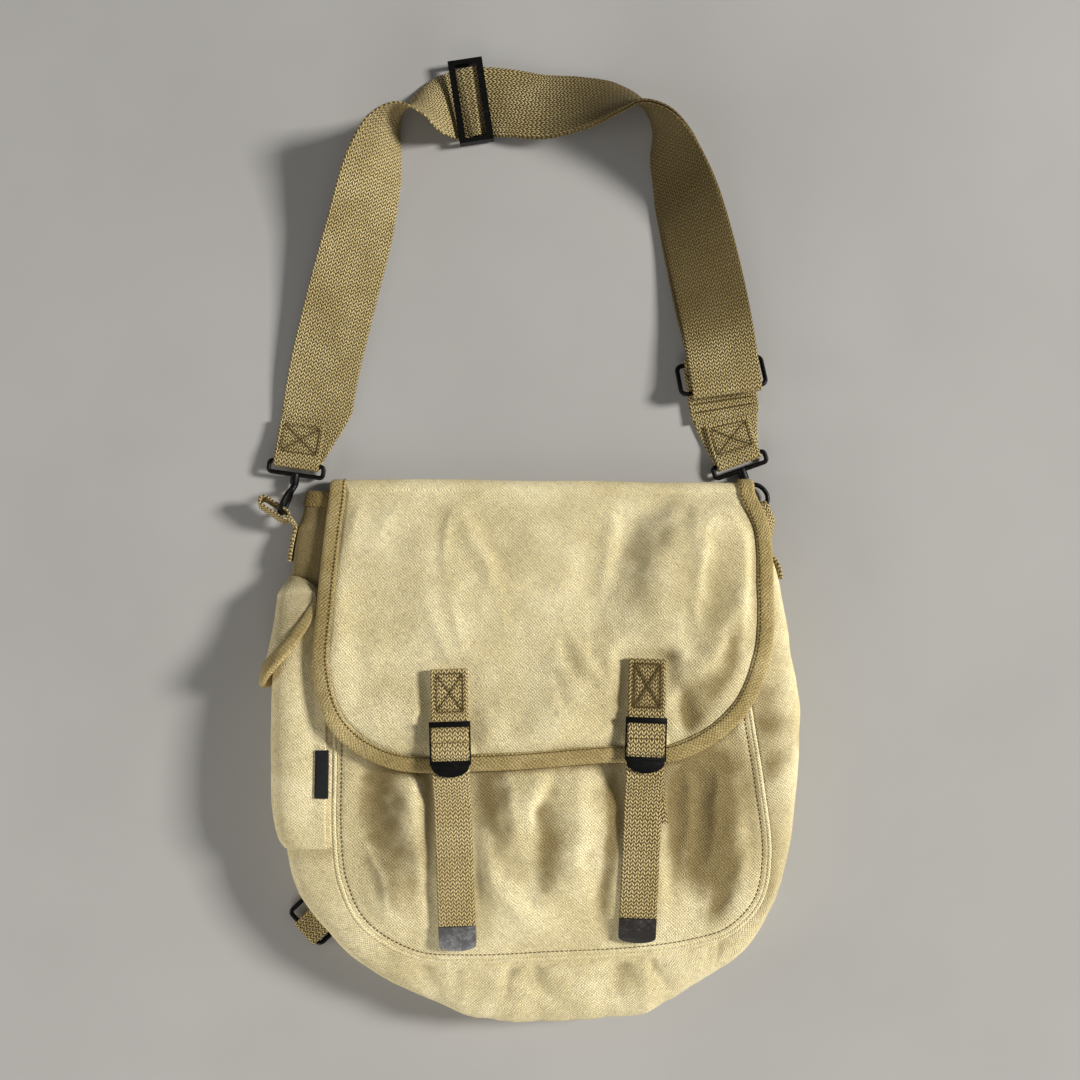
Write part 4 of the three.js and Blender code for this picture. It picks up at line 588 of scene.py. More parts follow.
def ribbon(name, pairs, thickness, sewn_groups=(), soil=0.0):
    """Webbing through pairs of edge points; its upper face is pulled in along groups of sewn lines."""
    first, second = pairs[:, 0], pairs[:, 1]
    middles = (first + second) / 2
    sides = unit(second - first)
    runs = unit(np.gradient(middles, axis=0))
    ups = unit(np.cross(runs, sides))
    along = lengths_along(middles)
    widths = np.linalg.norm(second - first, axis=1)
    sections = np.stack([section_of_webbing(w, thickness, 22 if sewn_groups else 8) for w in widths])
    # The sewn attribute darkens the webbing: the darkening passed in, mostly painted shade, and painted shade
    # along and inside the sewn lines where the face is pulled in.
    sewn = np.zeros(sections.shape[:2]) + np.reshape(soil, (-1, 1))
    on_face = sections[..., 1] < 0
    for lines in sewn_groups:
        spots = np.concatenate(lines)
        gaps = np.full(sewn.shape, 1e9)
        for across, reach in spots:
            gaps = np.minimum(gaps, (sections[..., 0] - across) ** 2 + (along[:, None] - reach) ** 2)
        low, high = spots.min(0), spots.max(0)
        inside = ((sections[..., 0] > low[0]) & (sections[..., 0] < high[0])
                  & (along[:, None] > low[1]) & (along[:, None] < high[1]))
        sections[..., 1] += on_face * (0.55 * np.exp(-gaps / 1.3) + 0.2 * inside)
        sewn += on_face * (0.35 * np.exp(-gaps / 2.2) + 0.12 * inside)
    obj = sweep(name, middles, sides, ups, sections, along)
    paint(obj.data, "sewn", sewn)
    smooth_faces(obj, 50)
    return obj


def spots_along(places, lengths, rows):
    """Rows of points or directions read off at places along their line."""
    return np.stack([np.interp(places, lengths, rows[:, n]) for n in range(rows.shape[1])], -1)


def resampled(points, step):
    """Points evenly spaced along a line."""
    along = lengths_along(points)
    count = max(2, int(round(along[-1] / step)) + 1)
    return spots_along(np.linspace(0, along[-1], count), along, points)


def ribbon_spot(pairs, thickness, along, across):
    """Places on a webbing's upper face, along it from its start and across from its middle, with normals."""
    middles = (pairs[:, 0] + pairs[:, 1]) / 2
    lengths = lengths_along(middles)
    sides = unit(pairs[:, 1] - pairs[:, 0])
    ups = -unit(np.cross(unit(np.gradient(middles, axis=0)), sides))
    middle, side, up = (spots_along(along, lengths, rows) for rows in (middles, sides, ups))
    normal = unit(up)
    return middle + side * np.asarray(across)[..., None] + normal * (thickness / 2), normal


# Stitches

def stitch_row(line, normals, pitch, length, radius, sink):
    """Start, end, normal and radius of each stitch along a line."""
    along = lengths_along(line)
    count = max(1, int(along[-1] / pitch))
    starts = (np.arange(count) + 0.5 * (along[-1] / pitch - count)) * pitch
    up = unit(spots_along(starts + length / 2, along, normals))
    lift = up * (radius - sink - 0.34 * radius)
    firsts, lasts = (spots_along(spots, along, line) + lift for spots in (starts, starts + length))
    return [(first, last, normal, radius) for first, last, normal in zip(firsts, lasts, up)]


def stitches(name, rows, material, slot):
    """All the stitches of a seam as one mesh of small rounded bars."""
    profile = [(0.0, 0.45), (0.16, 1.0), (0.84, 1.0), (1.0, 0.45)]
    sides = 6
    angles = np.arange(sides) * 2 * math.pi / sides
    vertices, faces = [], []
    for first, last, normal, radius in rows:
        run = unit(last - first)
        side = unit(np.cross(run, normal))
        base = len(vertices)
        for share, swell in profile:
            middle = lerp(first, last, share) - normal * (1 - swell) * radius
            for a in angles:
                vertices.append(middle + (side * math.cos(a) + normal * math.sin(a)) * radius * swell)
        for ring in range(len(profile) - 1):
            for k in range(sides):
                a, b = base + ring * sides + k, base + ring * sides + (k + 1) % sides
                faces.append([a, b, b + sides, a + sides])
        faces.append([base + k for k in range(sides)][::-1])
        faces.append([base + (len(profile) - 1) * sides + k for k in range(sides)])
    obj = mesh_object(name, np.array(vertices), faces)
    outward(obj)
    obj.data.shade_smooth()
    return finish_piece(obj, material, slot)


def box_cross(x0, x1, y0, y1, step=1.0):
    """Stitch lines of a sewn box with a cross: lists of across and along points."""
    corners = [(x0, y0), (x1, y0), (x1, y1), (x0, y1)]
    runs = [(corners[n], corners[(n + 1) % 4]) for n in range(4)]
    runs += [(corners[0], corners[2]), (corners[1], corners[3])]
    return [resampled(np.array(run, float), step) for run in runs]


# Shader node helpers

def add_node(tree, kind, **values):
    made = tree.nodes.new(kind)
    for name, value in values.items():
        setattr(made, name, value)
    return made


def feed(tree, socket, value):
    if isinstance(value, bpy.types.NodeSocket):
        tree.links.new(value, socket)
    elif value is not None:
        socket.default_value = value


def maths(tree, operation, first, second=None, third=None):
    made = add_node(tree, "ShaderNodeMath", operation=operation)
    for socket, value in zip(made.inputs, (first, second, third)):
        feed(tree, socket, value)
    return made.outputs[0]


def mixed(tree, share, first, second, blend="MIX"):
    made = add_node(tree, "ShaderNodeMix", data_type="RGBA", blend_type=blend)
    feed(tree, made.inputs["Factor"], share)
    feed(tree, made.inputs["A"], first)
    feed(tree, made.inputs["B"], second)
    return made.outputs["Result"]


def ranged(tree, value, from_low, from_high, to_low, to_high):
    made = add_node(tree, "ShaderNodeMapRange", interpolation_type="SMOOTHSTEP")
    for name, given in (("Value", value), ("From Min", from_low), ("From Max", from_high),
                        ("To Min", to_low), ("To Max", to_high)):
        feed(tree, made.inputs[name], given)
    return made.outputs["Result"]


def noise(tree, place, scale, detail=3.0, roughness=0.55, stretch=None):
    if stretch:
        mapping = add_node(tree, "ShaderNodeMapping")
        mapping.inputs["Scale"].default_value = stretch
        feed(tree, mapping.inputs["Vector"], place)
        place = mapping.outputs["Vector"]
    made = add_node(tree, "ShaderNodeTexNoise")
    feed(tree, made.inputs["Vector"], place)
    feed(tree, made.inputs["Scale"], scale)
    made.inputs["Detail"].default_value = detail
    made.inputs["Roughness"].default_value = roughness
    return made.outputs["Fac"]


SOCKET_KINDS = dict.fromkeys(("Cloth", "Pale", "Dirt", "Finish", "Bare", "Color"), "Color")
SOCKET_KINDS["Place"] = "Vector"


def new_group(name, inputs, outputs):
    """A shader group with its named sockets, and its input and output nodes."""
    tree = bpy.data.node_groups.new(name, "ShaderNodeTree")
    for way, sockets in (("INPUT", inputs), ("OUTPUT", outputs)):
        for socket in sockets:
            kind = "NodeSocket" + SOCKET_KINDS.get(socket, "Float")
            tree.interface.new_socket(socket, in_out=way, socket_type=kind)
    return tree, add_node(tree, "NodeGroupInput").outputs, add_node(tree, "NodeGroupOutput").inputs


def use_group(tree, group, **values):
    made = add_node(tree, "ShaderNodeGroup")
    made.node_tree = group
    for name, value in values.items():
        feed(tree, made.inputs[name.replace("_", " ")], value)
    return made.outputs


def yarn_counts(tree, place, across, along):
    """Place on the cloth counted in yarns across and along; sizes are in millimetres."""
    parts = add_node(tree, "ShaderNodeSeparateXYZ")
    feed(tree, parts.inputs[0], place)
    u = maths(tree, "DIVIDE", maths(tree, "MULTIPLY", parts.outputs["X"], 1 / MM), across)
    v = maths(tree, "DIVIDE", maths(tree, "MULTIPLY", parts.outputs["Y"], 1 / MM), along)
    return u, v


def wave(tree, count):
    """A wave from 0 to 1, once for each count."""
    turned = maths(tree, "SINE", maths(tree, "MULTIPLY", count, 2 * math.pi))
    return maths(tree, "MULTIPLY_ADD", turned, 0.5, 0.5)


def make_twill_group():
    """Close canvas weave with a slanting rib; Tone and Height run from 0 to 1."""
    tree, given, out = new_group("twill_weave", ("Place", "Yarn", "Slub"), ("Height", "Tone"))
    u, v = yarn_counts(tree, given["Place"], given["Yarn"], given["Yarn"])
    wander = noise(tree, given["Place"], 240.0, 2.0)
    slant = maths(tree, "ADD", maths(tree, "ADD", u, v), maths(tree, "MULTIPLY", wander, 2.2))
    rib = wave(tree, slant)
    cross = wave(tree, maths(tree, "SUBTRACT", maths(tree, "MULTIPLY", u, 0.9), v))
    woven = maths(tree, "MULTIPLY_ADD", cross, 0.35, maths(tree, "MULTIPLY", rib, 0.65))
    streak_down = noise(tree, given["Place"], given["Slub"], 2.0, 0.6, (3.2, 0.35, 1))
    streak_over = noise(tree, given["Place"], given["Slub"], 2.0, 0.6, (0.35, 3.2, 1))
    slub = maths(tree, "ADD", streak_down, streak_over)
    height = maths(tree, "MULTIPLY_ADD", slub, 0.45, maths(tree, "MULTIPLY", woven, 0.55))
    tree.links.new(height, out["Height"])
    tree.links.new(maths(tree, "MULTIPLY_ADD", woven, 0.4, maths(tree, "MULTIPLY", slub, 0.45)), out["Tone"])
    return tree


def make_webbing_group():
    """Zigzag rows of picks that lean one way and the other by columns; Tone and Height from 0 to 1."""
    tree, given, out = new_group("webbing_weave", ("Place", "Column", "Pick"), ("Height", "Tone"))
    u, v = yarn_counts(tree, given["Place"], given["Column"], given["Pick"])
    uneven = noise(tree, given["Place"], 330.0, 2.0)
    v = maths(tree, "ADD", v, maths(tree, "MULTIPLY", uneven, 0.7))
    sway = maths(tree, "SINE", maths(tree, "MULTIPLY", v, math.pi))
    u = maths(tree, "MULTIPLY_ADD", sway, 0.08, u)
    parity = maths(tree, "MODULO", maths(tree, "ADD", maths(tree, "FLOOR", u), 1000.0), 2.0)
    across = maths(tree, "SUBTRACT", maths(tree, "FRACT", u), 0.5)
    lean = maths(tree, "MULTIPLY", across, maths(tree, "MULTIPLY_ADD", parity, -1.7, 0.85))
    picks = maths(tree, "ADD", v, lean)
    pick = maths(tree, "ABSOLUTE", maths(tree, "SINE", maths(tree, "MULTIPLY", picks, math.pi)))
    column = maths(tree, "ABSOLUTE", maths(tree, "SINE", maths(tree, "MULTIPLY", u, math.pi)))
    oval = maths(tree, "MULTIPLY", maths(tree, "POWER", pick, 0.95), maths(tree, "POWER", column, 0.3))
    tree.links.new(oval, out["Height"])
    fuzz = noise(tree, given["Place"], 1500.0, 2.0)
    tree.links.new(maths(tree, "MULTIPLY_ADD", fuzz, 0.3, maths(tree, "MULTIPLY", oval, 0.75)), out["Tone"])
    return tree


def make_ageing_and_shade_group():
    """Cloth colour that pales on ridges, takes painted shade and grime in a dark brown where Hollow is high,
    and is mottled all over.
    """
    tree, given, out = new_group(
        "cloth_ageing_and_shade", ("Place", "Hollow", "Tone", "Cloth", "Pale", "Dirt", "Grain"), ("Color", "Roughness"))
    broad = noise(tree, given["Place"], 26.0, 4.0, 0.6)
    fine = noise(tree, given["Place"], 210.0, 4.0, 0.65)
    faded = mixed(tree, ranged(tree, broad, 0.38, 0.66, 0.0, 1.0), given["Cloth"], given["Pale"])
    worn = mixed(tree, ranged(tree, given["Hollow"], 0.46, 0.1, 0.0, 0.3), faded, given["Pale"])
    shaded = mixed(tree, ranged(tree, given["Hollow"], 0.52, 1.0, 0.0, 0.9), worn, given["Dirt"])
    grimy = mixed(tree, ranged(tree, fine, 0.5, 0.78, 0.0, 0.3), shaded, given["Dirt"])
    low = maths(tree, "SUBTRACT", 1.0, maths(tree, "MULTIPLY", given["Grain"], 0.5))
    grain = maths(tree, "MULTIPLY_ADD", given["Tone"], given["Grain"], low)
    level = add_node(tree, "ShaderNodeCombineXYZ")
    for socket in level.inputs:
        tree.links.new(grain, socket)
    tree.links.new(mixed(tree, 1.0, grimy, level.outputs[0], "MULTIPLY"), out["Color"])
    tree.links.new(ranged(tree, fine, 0.2, 0.8, 0.86, 0.98), out["Roughness"])
    return tree


def make_metal_group():
    """Painted or worn metal: Bare shows where the finish is rubbed through."""
    tree, given, out = new_group(
        "metal_wear", ("Place", "Finish", "Bare", "Rubbed"), ("Color", "Roughness", "Height"))
    broad = noise(tree, given["Place"], 160.0, 4.0, 0.65)
    fine = noise(tree, given["Place"], 900.0, 3.0, 0.6)
    edge = maths(tree, "SUBTRACT", 1.0, given["Rubbed"])
    patchy = maths(tree, "MULTIPLY_ADD", fine, 0.35, maths(tree, "MULTIPLY", broad, 0.65))
    low, high = (maths(tree, "MULTIPLY_ADD", edge, 0.5, start) for start in (0.18, 0.36))
    mask = ranged(tree, patchy, low, high, 0.0, 1.0)
    tree.links.new(mixed(tree, mask, given["Finish"], given["Bare"]), out["Color"])
    tree.links.new(ranged(tree, fine, 0.25, 0.75, 0.34, 0.6), out["Roughness"])
    tree.links.new(fine, out["Height"])
    return tree


TWILL = make_twill_group()
WEBBING = make_webbing_group()
AGEING_AND_SHADE = make_ageing_and_shade_group()
METAL_WEAR = make_metal_group()


def new_material(name):
    material = bpy.data.materials.new(name)
    material.use_nodes = True
    tree = material.node_tree
    tree.nodes.clear()
    surface = add_node(tree, "ShaderNodeBsdfPrincipled")
    output = add_node(tree, "ShaderNodeOutputMaterial")
    tree.links.new(surface.outputs[0], output.inputs["Surface"])
    return material, tree, surface


def bumped(tree, surface, height, distance):
    bump = add_node(tree, "ShaderNodeBump")
    bump.inputs["Distance"].default_value = distance * MM
    bump.inputs["Strength"].default_value = 1.0
    feed(tree, bump.inputs["Height"], height)
    tree.links.new(bump.outputs["Normal"], surface.inputs["Normal"])


def colour(red, green, blue):
    return (red, green, blue, 1.0)


def painted(tree, name):
    """A number painted on the points of a mesh."""
    return add_node(tree, "ShaderNodeAttribute", attribute_name=name).outputs["Fac"]


def woven_material(name, colours, group, sizes, hollow_at, grain, sheen, bump):
    """Cloth by its own, pale and dark brown colours, the sizes of its weave, and where painted shade and
    grime darken it.
    """
    material, tree, surface = new_material(name)
    uv = add_node(tree, "ShaderNodeUVMap", uv_map="cloth").outputs["UV"]
    place = add_node(tree, "ShaderNodeTexCoord").outputs["Object"]
    weave = use_group(tree, group, Place=uv, **sizes)
    cloth, pale, dirt_and_shade = (colour(*shade) for shade in colours)
    aged = use_group(tree, AGEING_AND_SHADE, Place=place, Hollow=hollow_at(tree, weave), Tone=weave["Tone"],
                     Cloth=cloth, Pale=pale, Dirt=dirt_and_shade, Grain=grain)
    tree.links.new(aged["Color"], surface.inputs["Base Color"])
    tree.links.new(aged["Roughness"], surface.inputs["Roughness"])
    surface.inputs["Specular IOR Level"].default_value = 0.15
    surface.inputs["Sheen Weight"].default_value = sheen
    bumped(tree, surface, weave["Height"], bump)
    return material


def canvas_material(name, colours, yarn=2.1, grain=2.1, bump=0.6, shaded_and_soiled=False):
    # Shaded canvas reads the hollow attribute, which holds painted shade and grime.
    def hollow_at(tree, weave):
        return painted(tree, "hollow") if shaded_and_soiled else 0.5

    return woven_material(name, colours, TWILL, {"Yarn": yarn, "Slub": 520.0}, hollow_at, grain, 0.08, bump)


def webbing_material(name, *colours):
    # Darker between the picks of the weave, plus the painted shade in the sewn attribute.
    def hollow_at(tree, weave):
        return maths(tree, "ADD", ranged(tree, weave["Tone"], 0.74, 0.3, 0.3, 1.0), painted(tree, "sewn"))

    return woven_material(name, colours, WEBBING, {"Column": 1.7, "Pick": 2.6}, hollow_at, 0.95, 0.05, 1.0)


def metal_material(name, finish, bare, rubbed, metallic, shine=0.5):
    material, tree, surface = new_material(name)
    place = add_node(tree, "ShaderNodeTexCoord").outputs["Object"]
    wear = use_group(tree, METAL_WEAR, Place=place, Finish=colour(*finish), Bare=colour(*bare), Rubbed=rubbed)
    tree.links.new(wear["Color"], surface.inputs["Base Color"])
    tree.links.new(wear["Roughness"], surface.inputs["Roughness"])
    surface.inputs["Metallic"].default_value = metallic
    surface.inputs["Specular IOR Level"].default_value = shine
    bumped(tree, surface, wear["Height"], 0.12)
    return material


def thread_material(name, light, dark):
    material, tree, surface = new_material(name)
    place = add_node(tree, "ShaderNodeTexCoord").outputs["Object"]
    twist = ranged(tree, noise(tree, place, 2400.0, 2.0), 0.35, 0.65, 0.0, 1.0)
    tree.links.new(mixed(tree, twist, colour(*dark), colour(*light)), surface.inputs["Base Color"])
    surface.inputs["Roughness"].default_value = 0.9
    surface.inputs["Specular IOR Level"].default_value = 0.2
    return material


# Cloth colours run from its own to faded to a dark brown for grime and painted shade
CANVAS_CLOTH = canvas_material(
    "canvas_cloth", [(0.60, 0.515, 0.295), (0.73, 0.645, 0.405), (0.17, 0.122, 0.044)], shaded_and_soiled=True)
TAPE_CLOTH = canvas_material(
    "tape_cloth", [(0.30, 0.228, 0.092), (0.40, 0.316, 0.15), (0.14, 0.10, 0.034)], 2.5, 2.5, 0.8)
SHADED_TAPE = canvas_material(
    "shaded_tape", [(0.19, 0.135, 0.05), (0.25, 0.185, 0.075), (0.10, 0.07, 0.024)], 2.4, 2.0, 0.7)
LABEL_CLOTH = canvas_material(
    "label_cloth", [(0.012, 0.012, 0.013), (0.02, 0.02, 0.022), (0.006, 0.006, 0.006)], 0.8, 0.4, 0.1)
WIDE_WEBBING = webbing_material("wide_webbing", (0.47, 0.37, 0.17), (0.61, 0.50, 0.255), (0.12, 0.084, 0.028))
NARROW_WEBBING = webbing_material("narrow_webbing", (0.57, 0.445, 0.205), (0.70, 0.57, 0.30),
                                  (0.13, 0.088, 0.028))
BLACK_PAINT = metal_material("black_paint", (0.002, 0.002, 0.002), (0.012, 0.011, 0.01), 0.3, 0.0, 0.22)
GREY_STEEL = metal_material("grey_steel", (0.17, 0.17, 0.175), (0.36, 0.36, 0.37), 0.5, 0.7)
DARK_STEEL = metal_material("dark_steel", (0.05, 0.046, 0.044), (0.13, 0.12, 0.11), 0.4, 0.6)
BROWN_THREAD = thread_material("brown_thread", (0.16, 0.11, 0.04), (0.09, 0.06, 0.02))


# Panels of the body

def strap_shade(x, y, margin):
    """0 under the closing straps and tabs, rising to 1 a margin away from them."""
    clear = np.ones_like(x)
    for row in CLOSURES:
        along = unit((-row.lean, 1))
        rx, ry = x - row.x, y - row.y
        forward = rx * along[0] + ry * along[1]
        sideways = np.abs(rx * along[1] - ry * along[0])
        past = np.maximum(np.maximum(forward - row.tab_end, -row.tail - TIP_LENGTH - forward), 0)
        away = np.hypot(np.maximum(sideways - NARROW_WIDTH / 2 - 1, 0), past)
        clear = np.minimum(clear, smoothstep(away, 0, margin))
    return clear


def crumple(x, y, seed):
    """Small soft dents of handled canvas, in millimetres."""
    soft = 0.6 * lumps(x, y, 34, seed) + 0.3 * lumps(x, y * 0.7, 15, seed + 1)
    soft = soft + 0.12 * lumps(x, y, 7, seed + 2)
    bend = 8 * lumps(x, y, 40, seed + 3)
    ridge = 1 - np.abs(lumps(x + bend, y * 0.5 + bend, 24, seed + 4)) * 2.0
    return soft + 0.35 * np.maximum(ridge, 0) ** 2


def fine_grid(rows, columns):
    return np.meshgrid(np.linspace(0, 1, rows), np.linspace(0, 1, columns), indexing="ij")


seam_places = np.linspace(0, LAST_SECTION, 500)
SEAM_LINE = seam_point(seam_places)
FLAP_RIM = flap_edge(np.linspace(0, FLAP_LAST, 400))
s, t = fine_grid(180, 190)
plan = patch(lambda k: seam_point(k, -CLOTH_INSET), LEFT_CORNER, RIGHT_CORNER, LAST_SECTION, s, t)
x, y = plan[..., 0], plan[..., 1]
edge = np.minimum(1, np.minimum(6 * np.minimum(s, 1 - s), 6 * (1 - t)))
from_seam = nearest(plan, SEAM_LINE)
relief = 1.6 * crumple(x, y, 11) * smoothstep(from_seam, 5, 22) * strap_shade(x, y, 10)
groove = -0.55 * np.exp(-((from_seam - SEAM_STITCH_INSET) / 1.1) ** 2)
shown = strap_shade(x, y, 11) * smoothstep(-y, 146, 160)
folds = np.minimum(fold_height(FRONT_FOLDS, x, y), 2.4)
folds = lerp(folds, crease_height(FRONT_CREASES, x, y) * smoothstep(from_seam, 4, 20), shown)
hidden = -7 * smoothstep(y, -138, -112) * smoothstep(from_seam, 6, 24)
z = body_height(x, y) + edge * folds + relief + groove + hidden
# Painted shade on the front panel: the fold shadows of its table, a painted shadow along the flap's rim, and
# darker towards the flap; last a small stain.
flap_rim_shadow = np.exp(-(nearest(plan, FLAP_RIM) / 3.5) ** 2) * smoothstep(-y, 100, 120)
soil = crease_height(FRONT_PAINTED_SHADE, x, y) + 0.5 * flap_rim_shadow + 0.22 * smoothstep(y, -262, -150)
soil += np.exp(-((x + 102.5) ** 2 + (y + 166) ** 2) / 1.8)
front = cloth_wall("front_panel_cloth", with_z(plan, z), plan[..., :2], soil=soil)
finish_piece(front, CANVAS_CLOTH, "canvas", "front_panel")


def back_edge(section, inward=BACK_INSET):
    point, out, bulge, tuck = seam_frame(section)
    return point + out * (bulge - tuck - inward)[..., None]


s, t = fine_grid(60, 60)
plan = patch(back_edge, LEFT_CORNER, RIGHT_CORNER, LAST_SECTION, 1 - s, t)
back = cloth_wall("back_panel_cloth", plan, plan[..., :2])
finish_piece(back, CANVAS_CLOTH, "canvas", "back_panel")

GUSSET_ROWS, GUSSET_COLUMNS = 560, 48
s, t = fine_grid(GUSSET_ROWS, GUSSET_COLUMNS)
section = s * LAST_SECTION
points = gusset_point(section, t, GATHERS + FINE_GATHERS, CLOTH_INSET)
along = np.repeat(lengths_along(points[:, GUSSET_COLUMNS // 2])[:, None], GUSSET_COLUMNS, 1)
over = np.cumsum(np.linalg.norm(np.diff(points, axis=1), axis=-1), 1)
over = np.concatenate([np.zeros((GUSSET_ROWS, 1)), over], 1)
calm = np.sin(np.pi * np.clip(t / 0.9, 0, 1)) ** 0.7
wrinkle = np.zeros_like(t)
for row in WRINKLES:
    centre = lerp(row.start, row.end, t / 0.4) + 0.05 * lumps(along, over, 12, 43)
    wrinkle += row.height * np.exp(-((section - centre) / row.width) ** 2)
wrinkle *= smoothstep(t, 0, 0.05) * smoothstep(0.6 - t, 0, 0.45)
dents = 0.8 * calm * crumple(along, over, 31) * (t < 0.9) + wrinkle
points = points + normals_of(points) * dents[..., None]
# Painted shade on the gusset: its upper left in the flap's shadow, a painted shadow below the pocket, along
# the seam, down the right side and in the wrinkles.
shade_top = 1.2 * smoothstep(2.6 - section, 0, 0.9) * smoothstep(0.8 - t, 0, 0.2)
right_side_shade = 0.6 * smoothstep(section, 12, 14.5)
by_seam = 0.2 * np.exp(-((t - 0.1) / 0.09) ** 2) * smoothstep(lumps(along, over * 0.2, 23, 37), -0.4, 0.7)
below_pocket_shadow = 0.5 * smoothstep(section, 5.1, 5.2) * smoothstep(5.8 - section, 0, 0.55) * (t < 0.68)
gusset_shade = below_pocket_shadow + shade_top + by_seam + right_side_shade + 0.14 * np.maximum(-wrinkle, 0)
gusset = cloth_wall("gusset_cloth", points, np.stack([along, over], -1), soil=gusset_shade)
finish_piece(gusset, CANVAS_CLOTH, "canvas", "gusset")

# Piping in the front seam
line = with_z(SEAM_LINE, SEAM_LINE[:, 2] - CANVAS / 2)
runs = unit(np.gradient(line, axis=0))
outs = seam_frame(seam_places)[1]
ups = unit(np.cross(outs, runs))
angles = np.arange(10) * 2 * math.pi / 10
ring = PIPING_RADIUS * np.stack([np.cos(angles), np.sin(angles)], -1)
rings = np.repeat(ring[None], len(line), 0)
piping = sweep("front_piping_cord", line, unit(np.cross(runs, ups)), ups, rings, lengths_along(line))
piping.data.shade_smooth()
finish_piece(piping, CANVAS_CLOTH, "canvas", "front_piping")


# Flap

def flap_point(s, t):
    main = np.clip((t - FOLD_SHARE) / (1 - FOLD_SHARE), 0, 1)
    plan = patch(flap_edge, FLAP_LEFT_CORNER, FLAP_RIGHT_CORNER, FLAP_LAST, s, main)
    plan[..., 1] += FOLD_GAP * (1 - main)
    radius = flap_top(plan[..., 0], plan[..., 1] * 0 + MOUTH_Y) / 2
    angle = np.pi * np.clip(t / FOLD_SHARE, 0, 1)
    rolled = np.stack([plan[..., 0], plan[..., 1] + radius * np.sin(angle), radius * (1 - np.cos(angle))], -1)
    lying = with_z(plan, flap_top(plan[..., 0], plan[..., 1]))
    return np.where((t < FOLD_SHARE)[..., None], rolled, lying), radius * (np.pi - angle)


s, t = fine_grid(200, 170)
points, roll = flap_point(s, t)
x, y = points[..., 0], points[..., 1]
from_rim = nearest(points, FLAP_RIM)
shown = smoothstep(from_rim, 8, 20) * strap_shade(x, y, 12) * smoothstep(-y, -30, -12)
puffed = crease_height(FLAP_CREASES, x, y) + 1.2 - fold_height(FLAP_FOLDS, x, y) + 1.3 * crumple(x, y, 51)
points[..., 2] += np.where(t < FOLD_SHARE, 0, puffed * shown)
top_wave = 1.1 * lumps(x, x * 0, 38, 91) - 1.7 * x / 150
points[..., 1] += top_wave * smoothstep(from_rim, 4, 22) * smoothstep(y, -6, 30)
under_strap = (1 - strap_shade(x, y, 3)) * smoothstep(from_rim, 8.5, 10.5) * smoothstep(17 - from_rim, 0, 4)
points[..., 2] += np.where(y < 0, 1.3 * under_strap, 0)
flap_uv = np.stack([x, np.where(t < FOLD_SHARE, MOUTH_Y + FOLD_GAP + roll, y)], -1)
# Painted shade on the flap: the fold shadows of its table and a painted shadow line along the tape's inner
# edge on the left.
tape_edge_shade = np.exp(-((from_rim - TAPE_SHOWN - 1) / 1.5) ** 2) * smoothstep(-x, 70, 125)
tape_edge_shade = tape_edge_shade * (0.6 + 0.4 * lumps(y, x * 0, 23, 57))
flap = cloth_wall("flap_cloth", points, flap_uv, soil=crease_height(FLAP_PAINTED_SHADE, x, y) + 0.9 * tape_edge_shade)
finish_piece(flap, CANVAS_CLOTH, "canvas", "flap")


# Tape folded over an edge

def tape_section(width):
    """Inside and height of the tape's section round the edge, as a closed line."""
    low = -CANVAS - TAPE_GAP
    high = TAPE_GAP + TAPE
    outer = [(width, TAPE_GAP + 0.3), (width - 0.5, high - 0.2), (width * 0.5, high), (2, high + 0.1),
             (0, high), (-0.9, TAPE_GAP + 0.5), (-high, TAPE_GAP * 0.2), (-high, low + 0.5),
             (-0.9, low - 0.5), (0, low - TAPE), (width * 0.8, low - TAPE)]
    inner = [(width * 0.8, low), (0, low), (-TAPE_GAP, low + 0.3), (-TAPE_GAP, 0.3), (0, TAPE_GAP),
             (width * 0.5, TAPE_GAP), (width - 0.3, TAPE_GAP)]
    return outer + inner


def tape_over(name, place, node, seed, width=TAPE_SHOWN, cloth=TAPE_CLOTH):
    """Binding tape; place gives points and normals some way in from the edge at some height."""
    corners = tape_section(width)
    sides = len(corners)
    run = lengths_along(place(0.0, 0.0)[0])
    count = len(run)
    wobble = 0.45 * lumps(run, run * 0, 14, seed) + 0.2 * lumps(run, run * 0, 5, seed + 1)
    columns = [place(inside + wobble * max(inside, 0) / width, height)[0] for inside, height in corners]
    quads, corner_rows, corner_columns = grid_quads(count, sides, False, True)
    across = np.array([inside for inside, _ in corners + corners[:1]])
    corner_uv = np.stack([across[corner_columns], run[corner_rows]], -1).reshape(-1, 2)
    corner_uv = np.concatenate([corner_uv, np.zeros((2 * sides, 2))])
    ends = [list(range(sides))[::-1], list(range((count - 1) * sides, count * sides))]
    obj = mesh_object(name, np.stack(columns, 1).reshape(-1, 3), quads.tolist() + ends, corner_uv)
    outward(obj)
    smooth_faces(obj, 60)
    return finish_piece(obj, cloth, "binding_tape", node)


FOLD_STEPS, RIM_STEPS = 15, 300


